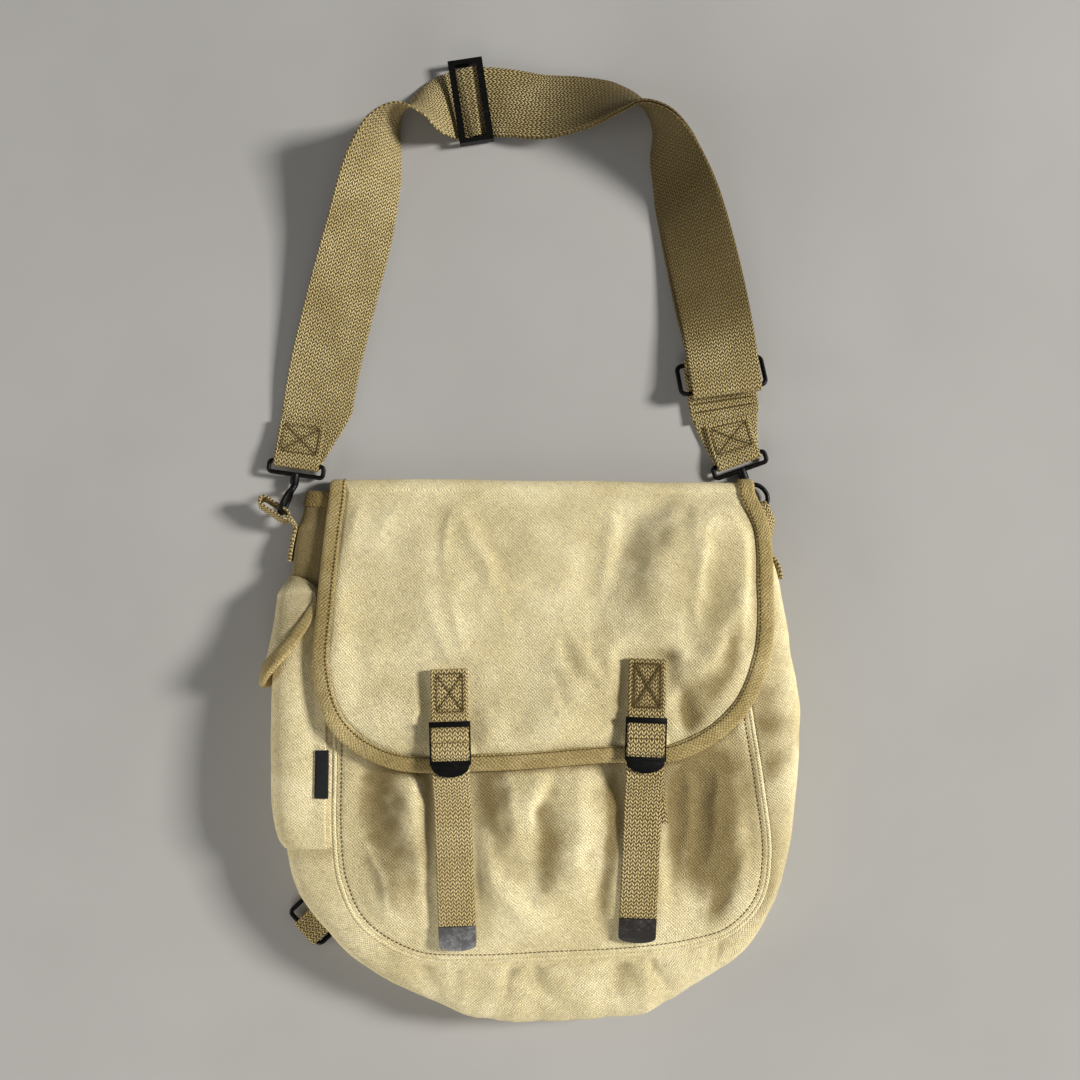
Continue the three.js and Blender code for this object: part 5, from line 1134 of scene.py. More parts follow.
def flap_rim_place(inside, height):
    """Points and normals on the flap some way in from its rim, from fold to fold."""
    angles = np.linspace(math.pi / 3, math.pi, FOLD_STEPS + 1)[:-1]
    inside = np.broadcast_to(np.asarray(inside, float), FOLD_STEPS + RIM_STEPS + FOLD_STEPS)
    ends = []
    for corner, inward, depth in ((FLAP_EDGE[0], 1, inside[:FOLD_STEPS]),
                                  (FLAP_EDGE[-1], -1, inside[-FOLD_STEPS:][::-1])):
        x = corner[0] + inward * depth
        radius = flap_top(x, x * 0 + MOUTH_Y) / 2
        normal = np.stack([x * 0, np.sin(angles), -np.cos(angles)], -1)
        middle = np.stack([x, x * 0 + MOUTH_Y + FOLD_GAP, radius], -1)
        ends.append((middle + normal * (radius + height)[:, None], normal))
    places = np.linspace(0, FLAP_LAST, RIM_STEPS)
    rim = flap_edge(places)
    main = np.clip(np.minimum(places / FLAP_LEFT_CORNER,
                              (FLAP_LAST - places) / (FLAP_LAST - FLAP_RIGHT_CORNER)), 0, 1)
    rim[:, 1] += FOLD_GAP * (1 - main)
    run = unit(np.gradient(rim, axis=0))
    inward = np.stack([-run[:, 1], run[:, 0], run[:, 0] * 0], -1)
    spot = rim + inward * inside[FOLD_STEPS:-FOLD_STEPS, None]
    x, y = spot[:, 0], spot[:, 1]
    slope_x = flap_top(x + 0.5, y) - flap_top(x - 0.5, y)
    slope_y = flap_top(x, y + 0.5) - flap_top(x, y - 0.5)
    normal = unit(np.stack([-slope_x, -slope_y, slope_x * 0 + 1], -1))
    lying = with_z(spot, flap_top(x, y)) + normal * height
    points = np.concatenate([ends[0][0], lying, ends[1][0][::-1]])
    return points, np.concatenate([ends[0][1], normal, ends[1][1][::-1]])


flap_tape = tape_over("flap_binding_tape", flap_rim_place, "flap_binding", 71)


def hem_place(inside, height):
    across = np.linspace(0.03, 0.6, 30)
    section = np.clip(np.asarray(inside, float) / 35, 0, 1) + across * 0
    point = gusset_point(section, across)
    point[:, 1] -= np.minimum(np.asarray(inside, float) + across * 0, 0)
    normal = gusset_normal(np.maximum(section, 0.02), across)
    return point + normal * height, normal


tape_over("hem_tape", hem_place, "hem_tape_left", 75, cloth=SHADED_TAPE)


# Side pocket, its flap and the label

def pocket_offset(section, across):
    s = np.clip((across - POCKET_ACROSS[0]) / (POCKET_ACROSS[1] - POCKET_ACROSS[0]), 0, 1)
    t = np.clip((section - POCKET_SECTIONS[0]) / (POCKET_SECTIONS[1] - POCKET_SECTIONS[0]), 0, 1)
    rise = lerp(0.4, 1, smoothstep(t, 0, 0.4))
    close = 1 - np.clip((t - 0.4) / 0.6, 0, 1) ** 5
    return GAP + CANVAS + POCKET_FULLNESS * np.sin(np.pi * s) ** 1.2 * rise * close


def grid_uv(points):
    """Lengths along and across a grid of points, for a cloth's own pattern."""
    rows, columns = points.shape[:2]
    along = np.repeat(lengths_along(points[:, columns // 2])[:, None], columns, 1)
    over = np.repeat(lengths_along(points[rows // 2])[None], rows, 0)
    return np.stack([over, along], -1)


t, s = fine_grid(110, 70)
section, across = lerp(*POCKET_SECTIONS, t), lerp(POCKET_SEAM, POCKET_ACROSS[1], s)
points = off_gusset(section, across, pocket_offset(section, across))
uv = grid_uv(points)
calm = np.sin(np.pi * s) * np.sin(np.pi * np.clip(t, 0, 1)) ** 0.5
dents = 0.9 * crumple(uv[..., 0], uv[..., 1] * 0.7, 91) * calm
points = points + normals_of(points) * dents[..., None]
pocket = cloth_wall("side_pocket_cloth", points, uv)
finish_piece(pocket, CANVAS_CLOTH, "canvas", "side_pocket")


def pocket_flap_point(t, s):
    peak = POCKET_FLAP_TIP_ACROSS
    tip = np.where(s < peak, s / peak, (1 - s) / (1 - peak))
    end = lerp(POCKET_FLAP_SIDE, POCKET_FLAP_TIP, np.sin(tip * np.pi / 2))
    section = lerp(POCKET_FLAP_TOP + 0.22 * np.abs(2 * s - 1) ** 3, end, t)
    across = lerp(*POCKET_FLAP_ACROSS, s)
    cover = pocket_offset(section, across) + GAP + TAPE + GAP + CANVAS
    lift = POCKET_FLAP_LIFT * np.clip(t, 0, 1) ** 3 * np.sin(np.pi * s)
    height = lerp(GAP + CANVAS, cover, smoothstep(t, 0, 0.24)) + lift
    return off_gusset(section, across, height)


t, s = fine_grid(60, 60)
points = pocket_flap_point(t, s)
# Painted shade all over the pocket flap, deeper further across it.
pocket_flap_shade = 0.55 + 0.4 * smoothstep(s, 0.3, 0.9)
pocket_flap = cloth_wall("pocket_flap_cloth", points, grid_uv(points), soil=pocket_flap_shade)
finish_piece(pocket_flap, CANVAS_CLOTH, "canvas", "pocket_flap")


def pocket_rim_place(inside, height):
    """Points and normals on the pocket flap some way in from its bound edge."""
    spots = np.linspace(0, POCKET_TAPE_END, 60)
    t, s = np.meshgrid(np.linspace(1, 0, 50), spots, indexing="xy")
    lines = pocket_flap_point(t, s)
    inside = np.broadcast_to(np.asarray(inside, float), len(spots))
    points = []
    for rows, depth in zip(lines, inside):
        spot = spots_along(max(depth, 0), lengths_along(rows), rows)
        points.append(spot + unit(rows[0] - rows[1]) * max(-depth, 0))
    normal = normals_of(np.swapaxes(lines, 0, 1))[0]
    normal = normal * np.sign((normal * gusset_normal(np.array([3.0]), np.array([0.4]))).sum(-1))[:, None]
    return np.array(points) + normal * height, normal


pocket_tape = tape_over("pocket_flap_tape", pocket_rim_place, "pocket_flap_binding", 81, 12.5)

t, s = fine_grid(24, 8)
section, across = lerp(*LABEL_SECTIONS, t), lerp(*LABEL_ACROSS, s)
points = off_gusset(section, across, pocket_offset(section, across) + GAP + LABEL_THICK)
label = cloth_wall("bare_label", points, grid_uv(points), LABEL_THICK)
finish_piece(label, LABEL_CLOTH, "label_cloth", "side_label")


# Metal pieces, shaped in their own frame in metres and then set in place

def bevelled(obj, width, segments, angle=40):
    """Rounds the edges that are sharper than an angle."""
    apply_modifier(obj, "BEVEL", width=width * MM, segments=segments, limit_method="ANGLE",
                   angle_limit=math.radians(angle))
    return obj


def block(x0, x1, y0, y1, z0, z1):
    """A cube sized and placed in millimetres."""
    bpy.ops.object.select_all(action="DESELECT")
    bpy.ops.mesh.primitive_cube_add(size=MM)
    obj = bpy.context.object
    bpy.ops.object.mode_set(mode="EDIT")
    bpy.ops.transform.resize(value=(x1 - x0, y1 - y0, z1 - z0))
    bpy.ops.transform.translate(value=((x0 + x1) / 2 * MM, (y0 + y1) / 2 * MM, (z0 + z1) / 2 * MM))
    bpy.ops.object.mode_set(mode="OBJECT")
    return obj


def half_disc(half, depth, y_top, z0, z1):
    """A plate with a straight top edge and a bowed lower edge, cut from a cylinder."""
    bpy.ops.object.select_all(action="DESELECT")
    bpy.ops.mesh.primitive_cylinder_add(vertices=72, radius=MM, depth=MM)
    obj = bpy.context.object
    bpy.ops.object.mode_set(mode="EDIT")
    bpy.ops.transform.resize(value=(half, depth, z1 - z0))
    bpy.ops.mesh.bisect(plane_co=(0, 0.2 * MM, 0), plane_no=(0, 1, 0), use_fill=True, clear_outer=True)
    bpy.ops.mesh.select_all(action="SELECT")
    bpy.ops.transform.translate(value=(0, y_top * MM, (z0 + z1) / 2 * MM))
    bpy.ops.object.mode_set(mode="OBJECT")
    return obj


def rod(radius, end_radius, length, y_top):
    """A turned rod along Y, with its rims eased."""
    bpy.ops.object.select_all(action="DESELECT")
    bpy.ops.mesh.primitive_cone_add(vertices=28, radius1=radius * MM, radius2=end_radius * MM,
                                    depth=length * MM)
    obj = bpy.context.object
    bpy.ops.object.mode_set(mode="EDIT")
    bpy.ops.transform.rotate(value=math.pi / 2, orient_axis="X", center_override=(0, 0, 0))
    bpy.ops.transform.translate(value=(0, (y_top - length / 2) * MM, 0))
    bpy.ops.object.mode_set(mode="OBJECT")
    return bevelled(obj, 0.5, 3, 50)


def bent_wire(width, depth, corner, radius):
    """A closed oblong of round wire about the middle of its frame."""
    bpy.ops.object.select_all(action="DESELECT")
    bpy.ops.mesh.primitive_plane_add(size=MM)
    bpy.ops.object.mode_set(mode="EDIT")
    bpy.ops.transform.resize(value=(width - 2 * radius, depth - 2 * radius, 1))
    bpy.ops.mesh.delete(type="ONLY_FACE")
    bpy.ops.mesh.select_all(action="SELECT")
    bpy.ops.mesh.bevel(offset=corner * MM, segments=8, affect="VERTICES")
    bpy.ops.object.mode_set(mode="OBJECT")
    bpy.ops.object.convert(target="CURVE")
    return wire_mesh(radius)


def wire_mesh(radius):
    """Gives the active curve its round section and makes it a mesh."""
    curve = bpy.context.object.data
    curve.dimensions = "3D"
    curve.bevel_depth = radius * MM
    curve.bevel_resolution = 5
    bpy.ops.object.convert(target="MESH")
    obj = bpy.context.object
    outward(obj)
    return obj


def united(first, *others):
    for other in others:
        apply_modifier(first, "BOOLEAN", operation="UNION", solver="EXACT", object=other)
        bpy.data.objects.remove(other)
    return first


def set_in_place(obj, name, node, x_axis, y_axis, origin, material=BLACK_PAINT, slot="black_metal"):
    """Turns a metal piece to its axes, moves it to its origin in the drawing frame and finishes it."""
    x_axis, y_axis = unit(x_axis), unit(y_axis)
    z_axis = unit(np.cross(x_axis, y_axis))
    turn = np.eye(4)
    turn[:3, 0], turn[:3, 1], turn[:3, 2] = x_axis, y_axis, z_axis
    turn[:3, 3] = on_part(origin)
    obj.data.transform(Matrix(turn.tolist()))
    obj.name = name
    outward(obj)
    smooth_faces(obj, 35)
    return finish_piece(obj, material, slot, node)


# Closures: tab on the flap, buckle, strap through it and metal tip

def flap_edge_y(x):
    rim = flap_edge(np.linspace(FLAP_LEFT_CORNER, FLAP_RIGHT_CORNER, 201))
    return min(0, rim[np.abs(rim[:, 0] - x) < 4][:, 1].min())


strap_stitch_rows = []


def sew_on(pairs, thickness, lines):
    """Stitches in webbing along lines of across and along points, sunk into its upper face."""
    for line in lines:
        spots, normals = ribbon_spot(pairs, thickness, line[:, 1], line[:, 0])
        strap_stitch_rows.extend(stitch_row(spots - normals * 0.45, normals, 2.5, 1.9, 0.34, 0.0))


def closure_seats(row):
    """Height functions for what lies along a closing strap, by distance along it from the buckle."""
    along = unit((-row.lean, 1, 0))
    across = np.array([along[1], -along[0], 0])
    middle = np.array([row.x, row.y, 0.0])

    def plan(d, w):
        return middle + along * d + across * w

    def rest_on(d, height):
        spots = np.array([plan(d + near, w * NARROW_WIDTH / 2) for near in (-3, 0, 3)
                          for w in (-1, -0.5, 0, 0.5, 1)])
        return float(height(spots[:, 0], spots[:, 1]).max())

    edge_d = flap_edge_y(row.x) - row.y
    near_edge = edge_d + TAPE_WIDTH / 2
    slope = (rest_on(TOP_BAR_FAR, flap_top) - rest_on(near_edge, flap_top)) / (TOP_BAR_FAR - near_edge)
    base = -1e9
    for d in np.arange(edge_d - 2, TOP_BAR_FAR + 2.001, 1.0):
        bound = TAPE + GAP if d < edge_d + TAPE_WIDTH + 2 else 0
        base = max(base, rest_on(d, flap_top) + bound - slope * d)

    def plane(d):
        return base + GAP * 0.5 + slope * d

    return along, across, plan, rest_on, plane, slope


def strip_pairs(plan, rows, substeps=6):
    """Edge points of a narrow strap through rows of distance, height and sideways shift."""
    middles = np.array([np.append(plan(d, shift)[:2], z) for d, z, shift in rows])
    fine = smooth_line(middles, np.linspace(0, len(rows) - 1, (len(rows) - 1) * substeps + 1))
    side = unit(plan(0, 1) - plan(0, 0)) * NARROW_WIDTH / 2
    return np.stack([fine - side, fine + side], 1)


def build_closure(row, tip_material):
    along, across, plan, rest_on, plane, slope = closure_seats(row)

    def in_buckle(d, height):
        return (d, plane(d) + height, 0)

    turn_in = NARROW_THICK / 2 + 0.1

    def wrap(sign):
        rows = [(turn_in + 1.6, LOWER_LAYER), (turn_in + 0.5, LOWER_LAYER + 0.35),
                (turn_in, LOWER_LAYER + 1.3), (turn_in, OVER_BAR - 1.3),
                (turn_in + 0.5, OVER_BAR - 0.35), (turn_in + 1.6, OVER_BAR),
                (BAR_OFFSET, OVER_BAR), (BAR_OFFSET + 1.9, OVER_BAR - 0.1)]
        return [in_buckle(sign * d, height) for d, height in rows]

    def seat(d, layer):
        return (d, max(rest_on(d, flap_top) + GAP * 0.5, plane(d) if d < 20 else -1e9) + layer, 0)

    tab_run = [row.tab_end, 40, 33, 26, 20, 16]
    tab_rows = ([seat(d, LOWER_LAYER) for d in tab_run] + [in_buckle(9, LOWER_LAYER)] + wrap(1)
                + [in_buckle(8.2, UPPER_LAYER + 1.2), in_buckle(9.8, UPPER_LAYER + 0.1),
                   in_buckle(TOP_BAR_FAR, UPPER_LAYER)] + [seat(d, UPPER_LAYER) for d in tab_run[::-1]])
    tab_pairs = strip_pairs(plan, tab_rows)
    tab_length = lengths_along(tab_pairs.mean(1))[-1]
    sewn = NARROW_WIDTH / 2 - 3.4
    box_lines = box_cross(-sewn, sewn, tab_length - 3.2, tab_length - (row.tab_end - 19))
    tab = ribbon(f"flap_tab_webbing_{row.side}", tab_pairs, NARROW_THICK, [box_lines], soil=row.soil)
    finish_piece(tab, NARROW_WEBBING, "webbing", f"flap_tab_{row.side}")
    sew_on(tab_pairs, NARROW_THICK, box_lines)

    load_end = row.anchor

    def load_z(d):
        blend = float(smoothstep(d, load_end + 12, MOON_FAR))
        rest = rest_on(d, front_top) + GAP + NARROW_THICK / 2
        return max(rest, lerp(rest, plane(MOON_FAR) + LOWER_LAYER, blend))

    def shift_at(d):
        return row.anchor_shift * np.clip((MOON_FAR - d) / (MOON_FAR - load_end), 0, 1)

    def tail_z(d):
        lift = 1.9 * np.clip((d - load_end + 16) / 14, 0, 1)
        return rest_on(d, front_top) + GAP + NARROW_THICK / 2 + lift

    load_run = [lerp(load_end, MOON_FAR, k) for k in (0, 0.25, 0.5, 0.75)]
    tail_run = [lerp(load_end, MOON_FAR, k) for k in (0.85, 0.6, 0.35, 0.1)]
    free_run = [lerp(load_end, -row.tail, k) for k in (0.12, 0.3, 0.5, 0.75, 1)]
    strap_rows = ([(d, load_z(d), shift_at(d)) for d in load_run]
                  + [in_buckle(MOON_FAR, LOWER_LAYER), in_buckle(-12, LOWER_LAYER)] + wrap(-1)
                  + [in_buckle(-9, UPPER_LAYER + 1.2), in_buckle(-11.6, UPPER_LAYER),
                     in_buckle(MOON_FAR, UPPER_LAYER)]
                  + [(d, load_z(d) + UPPER_LAYER - LOWER_LAYER, 0) for d in tail_run]
                  + [(d, tail_z(d), 0) for d in free_run])
    strap_pairs = strip_pairs(plan, strap_rows)
    strap = ribbon(f"closing_strap_webbing_{row.side}", strap_pairs, NARROW_THICK, soil=row.soil)
    finish_piece(strap, NARROW_WEBBING, "webbing", f"closing_strap_{row.side}")

    # Metal tip crimped over the end of the strap
    half = NARROW_WIDTH / 2
    tip = united(block(-half, half, TIP_BOW - TIP_LENGTH, 0, -TIP_THICK / 2, TIP_THICK / 2),
                 half_disc(half, TIP_BOW, TIP_BOW - TIP_LENGTH, -TIP_THICK / 2, TIP_THICK / 2))
    bevelled(tip, 0.5, 3)
    start = plan(-row.tail - GAP, 0)
    start[2] = tail_z(-row.tail)
    end_z = max(rest_on(-row.tail - TIP_LENGTH, front_top) + GAP, start[2] - 7) + TIP_THICK / 2
    tip_y = along * TIP_LENGTH + UP * (start[2] - end_z)
    start[2] = max(start[2], rest_on(-row.tail - 4, front_top) + GAP + TIP_THICK / 2)
    set_in_place(tip, f"strap_tip_metal_{row.side}", f"strap_tip_{row.side}", across, tip_y, start,
                 tip_material, "worn_steel")

    origin = plan(0, 0)
    origin[2] = plane(0)
    set_in_place(buckle_metal(), f"buckle_metal_{row.side}", f"buckle_{row.side}", across,
                 along + UP * slope, origin)


def buckle_metal():
    """Side rails, top bar, two inner bars and a half-moon thumb plate."""
    outer = BUCKLE_INNER / 2 + BUCKLE_RAIL
    rails = [block(left, left + BUCKLE_RAIL, MOON_NEAR - 1.5, TOP_BAR_FAR, BAR_LOW, COVER_HIGH - 1)
             for left in (-outer, outer - BUCKLE_RAIL)]
    top = block(-outer, outer, TOP_BAR_NEAR, TOP_BAR_FAR, COVER_LOW, COVER_HIGH)
    bars = [block(-outer, outer, side * BAR_OFFSET - BAR_DEPTH / 2, side * BAR_OFFSET + BAR_DEPTH / 2,
                  BAR_LOW, BAR_HIGH) for side in (-1, 1)]
    lip = MOON_NEAR - 2.6
    moon = [block(-outer, outer, lip, MOON_NEAR, COVER_LOW, COVER_HIGH),
            half_disc(outer * 0.93, lip - MOON_FAR, lip, COVER_LOW, COVER_HIGH)]
    return bevelled(united(*rails, top, *bars, *moon), 0.35, 2)


for closure, metal in zip(CLOSURES, (GREY_STEEL, DARK_STEEL)):
    build_closure(closure, metal)


# Shoulder strap

Frame = namedtuple("Frame", "centre run width normal")


def strap_frame(station):
    station = np.clip(np.asarray(station, float), 0, STRAP_LAST)
    step = 0.004 * STRAP_LAST
    before, centre, after = (smooth_line(STRAP_STATIONS[:, :2], station + gap) for gap in (-step, 0, step))
    run = with_z(unit(after - before), station * 0)
    turn = smooth_line(STRAP_STATIONS[:, 2:], station)
    tilt = np.radians(turn[..., 0])
    out = np.cross(UP, run)
    width = unit(out * np.cos(tilt)[..., None] + UP * np.sin(tilt)[..., None])
    normal = unit(np.cross(run, width))
    stand = STRAP_WIDTH / 2 * np.abs(np.sin(tilt)) + STRAP_THICK / 2 * np.abs(np.cos(tilt))
    doubled = np.clip((station - SLIDER_STATION) / 0.5, 0, 1)
    under = doubled * (STRAP_THICK + LAYER_GAP) * np.maximum(0, -np.cos(tilt))
    return Frame(with_z(centre, stand + 0.2 + turn[..., 1] + under), run, width, normal)


def strap_pair(spot, offset, start, end):
    """Edge points of the strap at a frame, lifted by offset along its normal."""
    offset, start, end = (np.asarray(v, float)[..., None] for v in (offset, start, end))
    middle = spot.centre + spot.normal * offset
    return np.stack([middle + spot.width * start, middle + spot.width * end], -2)


def wrap_turn(spot, outward_sign, start, end, from_angle, to_angle, count=16):
    angles = np.linspace(from_angle, to_angle, count)
    centre = spot.centre + spot.run * (outward_sign * WRAP_RADIUS * np.sin(angles))[:, None]
    rows = Frame(centre, *(np.broadcast_to(v, centre.shape) for v in spot[1:]))
    flat = np.zeros(count)
    return strap_pair(rows, WRAP_RADIUS * (1 - np.cos(angles)), flat + start, flat + end)


HALF = STRAP_WIDTH / 2
first_step = np.linalg.norm(STRAP_STATIONS[1, :2] - STRAP_STATIONS[0, :2])
patch_station = PATCH_LENGTH / first_step
start_spot = strap_frame(0.0)
ring_spot = strap_frame(float(STRAP_LAST))


def strap_run(from_station, to_station, count, layer=None, inner=None, drift=None):
    stations = np.linspace(from_station, to_station, count)
    offset = stations * 0 if layer is None else layer(stations)
    start = stations * 0 - HALF if inner is None else inner(stations)
    aside = stations * 0 if drift is None else drift(stations)
    return strap_pair(strap_frame(stations), offset, start - aside, stations * 0 + HALF - aside)


def under_drift(k):
    """The under layer of the right leg lies a little further in than the upper one."""
    return 2.6 * smoothstep(k, 18, 20) * smoothstep(STRAP_LAST - k, 0.4, 2)


def patch_layer(k):
    return lerp(CLOSE_LAYER, END_LAYER, np.clip(1.2 - k / patch_station, 0, 1) ** 2)


def return_layer(k):
    return lerp(CLOSE_LAYER, END_LAYER, np.clip((k - STRAP_LAST + 1.6) / 1.4, 0, 1) ** 2)


def narrow_edge(k):
    return -lerp(END_WIDTH - HALF, HALF, np.clip(k / TAPER_STATION, 0, 1))


def flat_edge(k):
    return k * 0 + HALF - END_WIDTH


patch_pairs = strap_run(patch_station, 0.12, 14, patch_layer, flat_edge)
strap_pairs = np.concatenate([
    patch_pairs,
    wrap_turn(start_spot, -1, HALF - END_WIDTH, HALF, math.pi, 0),
    strap_run(0.15, SLIDER_STATION - 1.7, 150, None, narrow_edge),
    strap_run(SLIDER_STATION - 1.6, SLIDER_STATION + 1.3, 60),
    strap_run(SLIDER_STATION + 1.5, STRAP_LAST - 0.12, 150, drift=under_drift),
    wrap_turn(ring_spot, 1, -HALF, HALF, 0, math.pi),
    strap_run(STRAP_LAST - 0.12, SLIDER_STATION + 0.75, 150, return_layer)])
patch_size = lengths_along(patch_pairs.mean(1))[-1]
patch_lines = box_cross(-END_WIDTH / 2 + 3.2, END_WIDTH / 2 - 3.2, 3, patch_size - 4)
strap_x, strap_y = strap_pairs.mean(1)[:, 0], strap_pairs.mean(1)[:, 1]
# Painted shade on the strap's top and right leg, over a small even darkening of the whole strap.
leg_shade = 0.08 + 0.56 * smoothstep(strap_x, -60, 60) * smoothstep(strap_y, 96, 175)
strap = ribbon("shoulder_strap_webbing", strap_pairs, STRAP_THICK, [patch_lines], soil=leg_shade)
finish_piece(strap, WIDE_WEBBING, "webbing", "shoulder_strap")
sew_on(patch_pairs, STRAP_THICK, patch_lines)

# Slider: side bars over the webbing, lower middle bar under it
slide_spot = strap_frame(float(SLIDER_STATION))
half_length, half_depth = SLIDER_LENGTH / 2, SLIDER_DEPTH / 2
slider_bars = [block(left, left + SLIDER_SIDE_BAR, -half_length, half_length, SLIDER_BAR_LOW, SLIDER_TOP)
               for left in (-half_depth, half_depth - SLIDER_SIDE_BAR)]
slider_bars.append(block(-SLIDER_CENTRE_BAR / 2, SLIDER_CENTRE_BAR / 2, -half_length, half_length,
                         SLIDER_BASE, SLIDER_BASE + 1.4))
slider_bars += [block(-half_depth, half_depth, low, low + SLIDER_END_BAR, SLIDER_BASE, SLIDER_TOP)
                for low in (-half_length, half_length - SLIDER_END_BAR)]
set_in_place(bevelled(united(*slider_bars), 0.7, 3), "strap_slider_metal", "strap_slider", slide_spot.run,
             np.cross(UP, slide_spot.run), with_z(slide_spot.centre, np.array(0.0)))

# Ring turned back under the strap
wrap_centre = ring_spot.centre + ring_spot.normal * WRAP_RADIUS
RING_FAR_HEIGHT = STRAP_THICK + GAP + WIRE_RADIUS + 0.3
ring_bars = RING_DEPTH - 2 * WIRE_RADIUS
drop = wrap_centre[2] - RING_FAR_HEIGHT
ring_back = -unit(ring_spot.run * (1, 1, 0))
ring_y = unit(ring_back * math.sqrt(ring_bars ** 2 - drop ** 2) - UP * drop)
ring_x = -unit(np.cross(UP, ring_back))
ring_middle = wrap_centre + ring_y * ring_bars / 2 - ring_x * RING_SHIFT
set_in_place(bent_wire(RING_WIDTH, RING_DEPTH, RING_CORNER, WIRE_RADIUS), "strap_ring_metal", "strap_ring",
             ring_x, ring_y, ring_middle)

# Snap bail with its swivel barrel, and the closed snap hook below it
bail_bar_gap = BAIL_DEPTH - 2 * WIRE_RADIUS
barrel_end = -bail_bar_gap - BARREL_LENGTH + 1


def bail_metal():
    wire = bent_wire(BAIL_WIDTH, BAIL_DEPTH, BAIL_CORNER, WIRE_RADIUS)
    wire.data.transform(Matrix.Translation((0, -bail_bar_gap / 2 * MM, 0)))
    return united(wire, rod(BARREL_RADIUS, BARREL_RADIUS, BARREL_LENGTH, barrel_end + BARREL_LENGTH))


def hook_metal():
    bpy.ops.object.select_all(action="DESELECT")
    bpy.ops.curve.primitive_bezier_circle_add(radius=EYE_ACROSS * MM)
    curve = bpy.context.object.data
    top = 1 - COLLAR_LENGTH
    widest = top - EYE_DOWN * 0.6
    rows = [(0, top), (EYE_ACROSS, widest), (0, top - EYE_DOWN), (-EYE_ACROSS, widest)]
    for point, (across, down) in zip(curve.splines[0].bezier_points, rows):
        point.handle_left_type = point.handle_right_type = "AUTO"
        point.co = (across * MM, down * MM, 0)
    eye = wire_mesh(WIRE_RADIUS)
    reach = SWIVEL_GAP + 0.8
    return united(rod(BARREL_RADIUS * 0.65, BARREL_RADIUS * 0.8, COLLAR_LENGTH + reach, reach), eye)


def place_hook(side, bar_centre, bail_x, bail_y, shaft, eye_across):
    set_in_place(bail_metal(), f"snap_bail_metal_{side}", f"snap_bail_{side}", bail_x, bail_y, bar_centre)
    hook_y = -unit(shaft)
    across = unit(eye_across - hook_y * np.dot(eye_across, hook_y))
    origin = bar_centre + bail_y * (barrel_end - SWIVEL_GAP)
    set_in_place(hook_metal(), f"snap_hook_metal_{side}", f"snap_hook_{side}", across, hook_y, origin)
    return across, origin + hook_y * (1 - COLLAR_LENGTH - EYE_DOWN)


def side_loop(side, hold, hold_width, towards, seat, seat_width):
    """Webbing round the far end of a hook and down to a spot on the gusset."""
    hole = WIRE_RADIUS + 1.7 * GAP
    beyond, before = LOOP_SLIT[side]
    radius = hole + LOOP_THICK / 2
    thin = unit(np.cross(hold_width, towards))
    turns = np.linspace(-math.pi / 2, math.pi / 2, 14)
    flat = [(before + radius * math.cos(a), radius * math.sin(a)) for a in turns]
    flat += [(lerp(before, -beyond, k), radius) for k in (0.33, 0.67)]
    flat += [(-beyond - radius * math.cos(a), radius * math.sin(a)) for a in turns[::-1]]
    flat += [(lerp(-beyond, before, k), -radius) for k in (0.33, 0.67)]
    flat = np.array(flat)
    middles = hold + towards * flat[:, :1] + thin * flat[:, 1:]
    runs = unit(np.roll(middles, -1, 0) - np.roll(middles, 1, 0))
    sides = np.repeat(hold_width[None], len(middles), 0)
    sections = np.repeat(section_of_webbing(LOOP_WIDTH, LOOP_THICK)[None], len(middles), 0)
    ups = unit(np.cross(runs, sides))
    eye = sweep("loop_eye", middles, sides, ups, sections, lengths_along(middles), True)
    start = hold + towards * (before + hole + LOOP_THICK * 0.3)
    length = np.linalg.norm(start - seat[0])
    rows = np.vstack([start, start + towards * length * 0.3, seat])
    shares = np.linspace(0, 1, 60)
    path = smooth_line(rows, shares * (len(rows) - 1))
    widths = unit(lerp(hold_width, seat_width, np.clip(shares * 1.6, 0, 1)[:, None])) * LOOP_WIDTH / 2
    tail = ribbon(f"side_loop_webbing_{side}", np.stack([path - widths, path + widths], 1), LOOP_THICK * 1.7)
    select_only(tail)
    eye.select_set(True)
    bpy.ops.object.join()
    return finish_piece(tail, NARROW_WEBBING, "webbing", f"side_loop_{side}")


LOOP_STAND = LOOP_THICK * 0.85 + GAP + 0.5


def loop_seat(sections, lowest):
    sections = np.array(sections)
    spots = gusset_point(sections, sections * 0 + 0.5) + seam_frame(sections)[1] * LOOP_STAND
    spots[:, 2] = np.maximum(spots[:, 2], LOOP_WIDTH / 2 + lowest)
    return spots


left_bar = start_spot.centre + start_spot.normal * WRAP_RADIUS + start_spot.width * (HALF - END_WIDTH / 2)
left_across, left_eye = place_hook("left", left_bar, -start_spot.width, start_spot.run, LEFT_SHAFT, UP)
left_seat = loop_seat([0.72, 1, 1.35], 1)
left_to = left_seat[0] - left_eye
left_to = unit(left_to - left_across * np.dot(left_to, left_across))
side_loop("left", left_eye, left_across, left_to, left_seat, UP)

# Right hook tab
tab_run = unit(ring_spot.run * (1, 1, 0))
ring_far_bar = ring_middle + ring_y * ring_bars / 2
tab_start = with_z(ring_far_bar, np.array(RING_FAR_HEIGHT - WRAP_RADIUS))


def turned(vector, angle):
    c, s = np.cos(angle), np.sin(angle)
    x, y, z = vector
    return np.stack([x * c - y * s, x * s + y * c, z + angle * 0], -1)


def tab_heading(d):
    return TAB_BEND * np.clip((d - TAB_BEND_FROM) / (TAB_LENGTH - TAB_BEND_FROM), 0, 1)


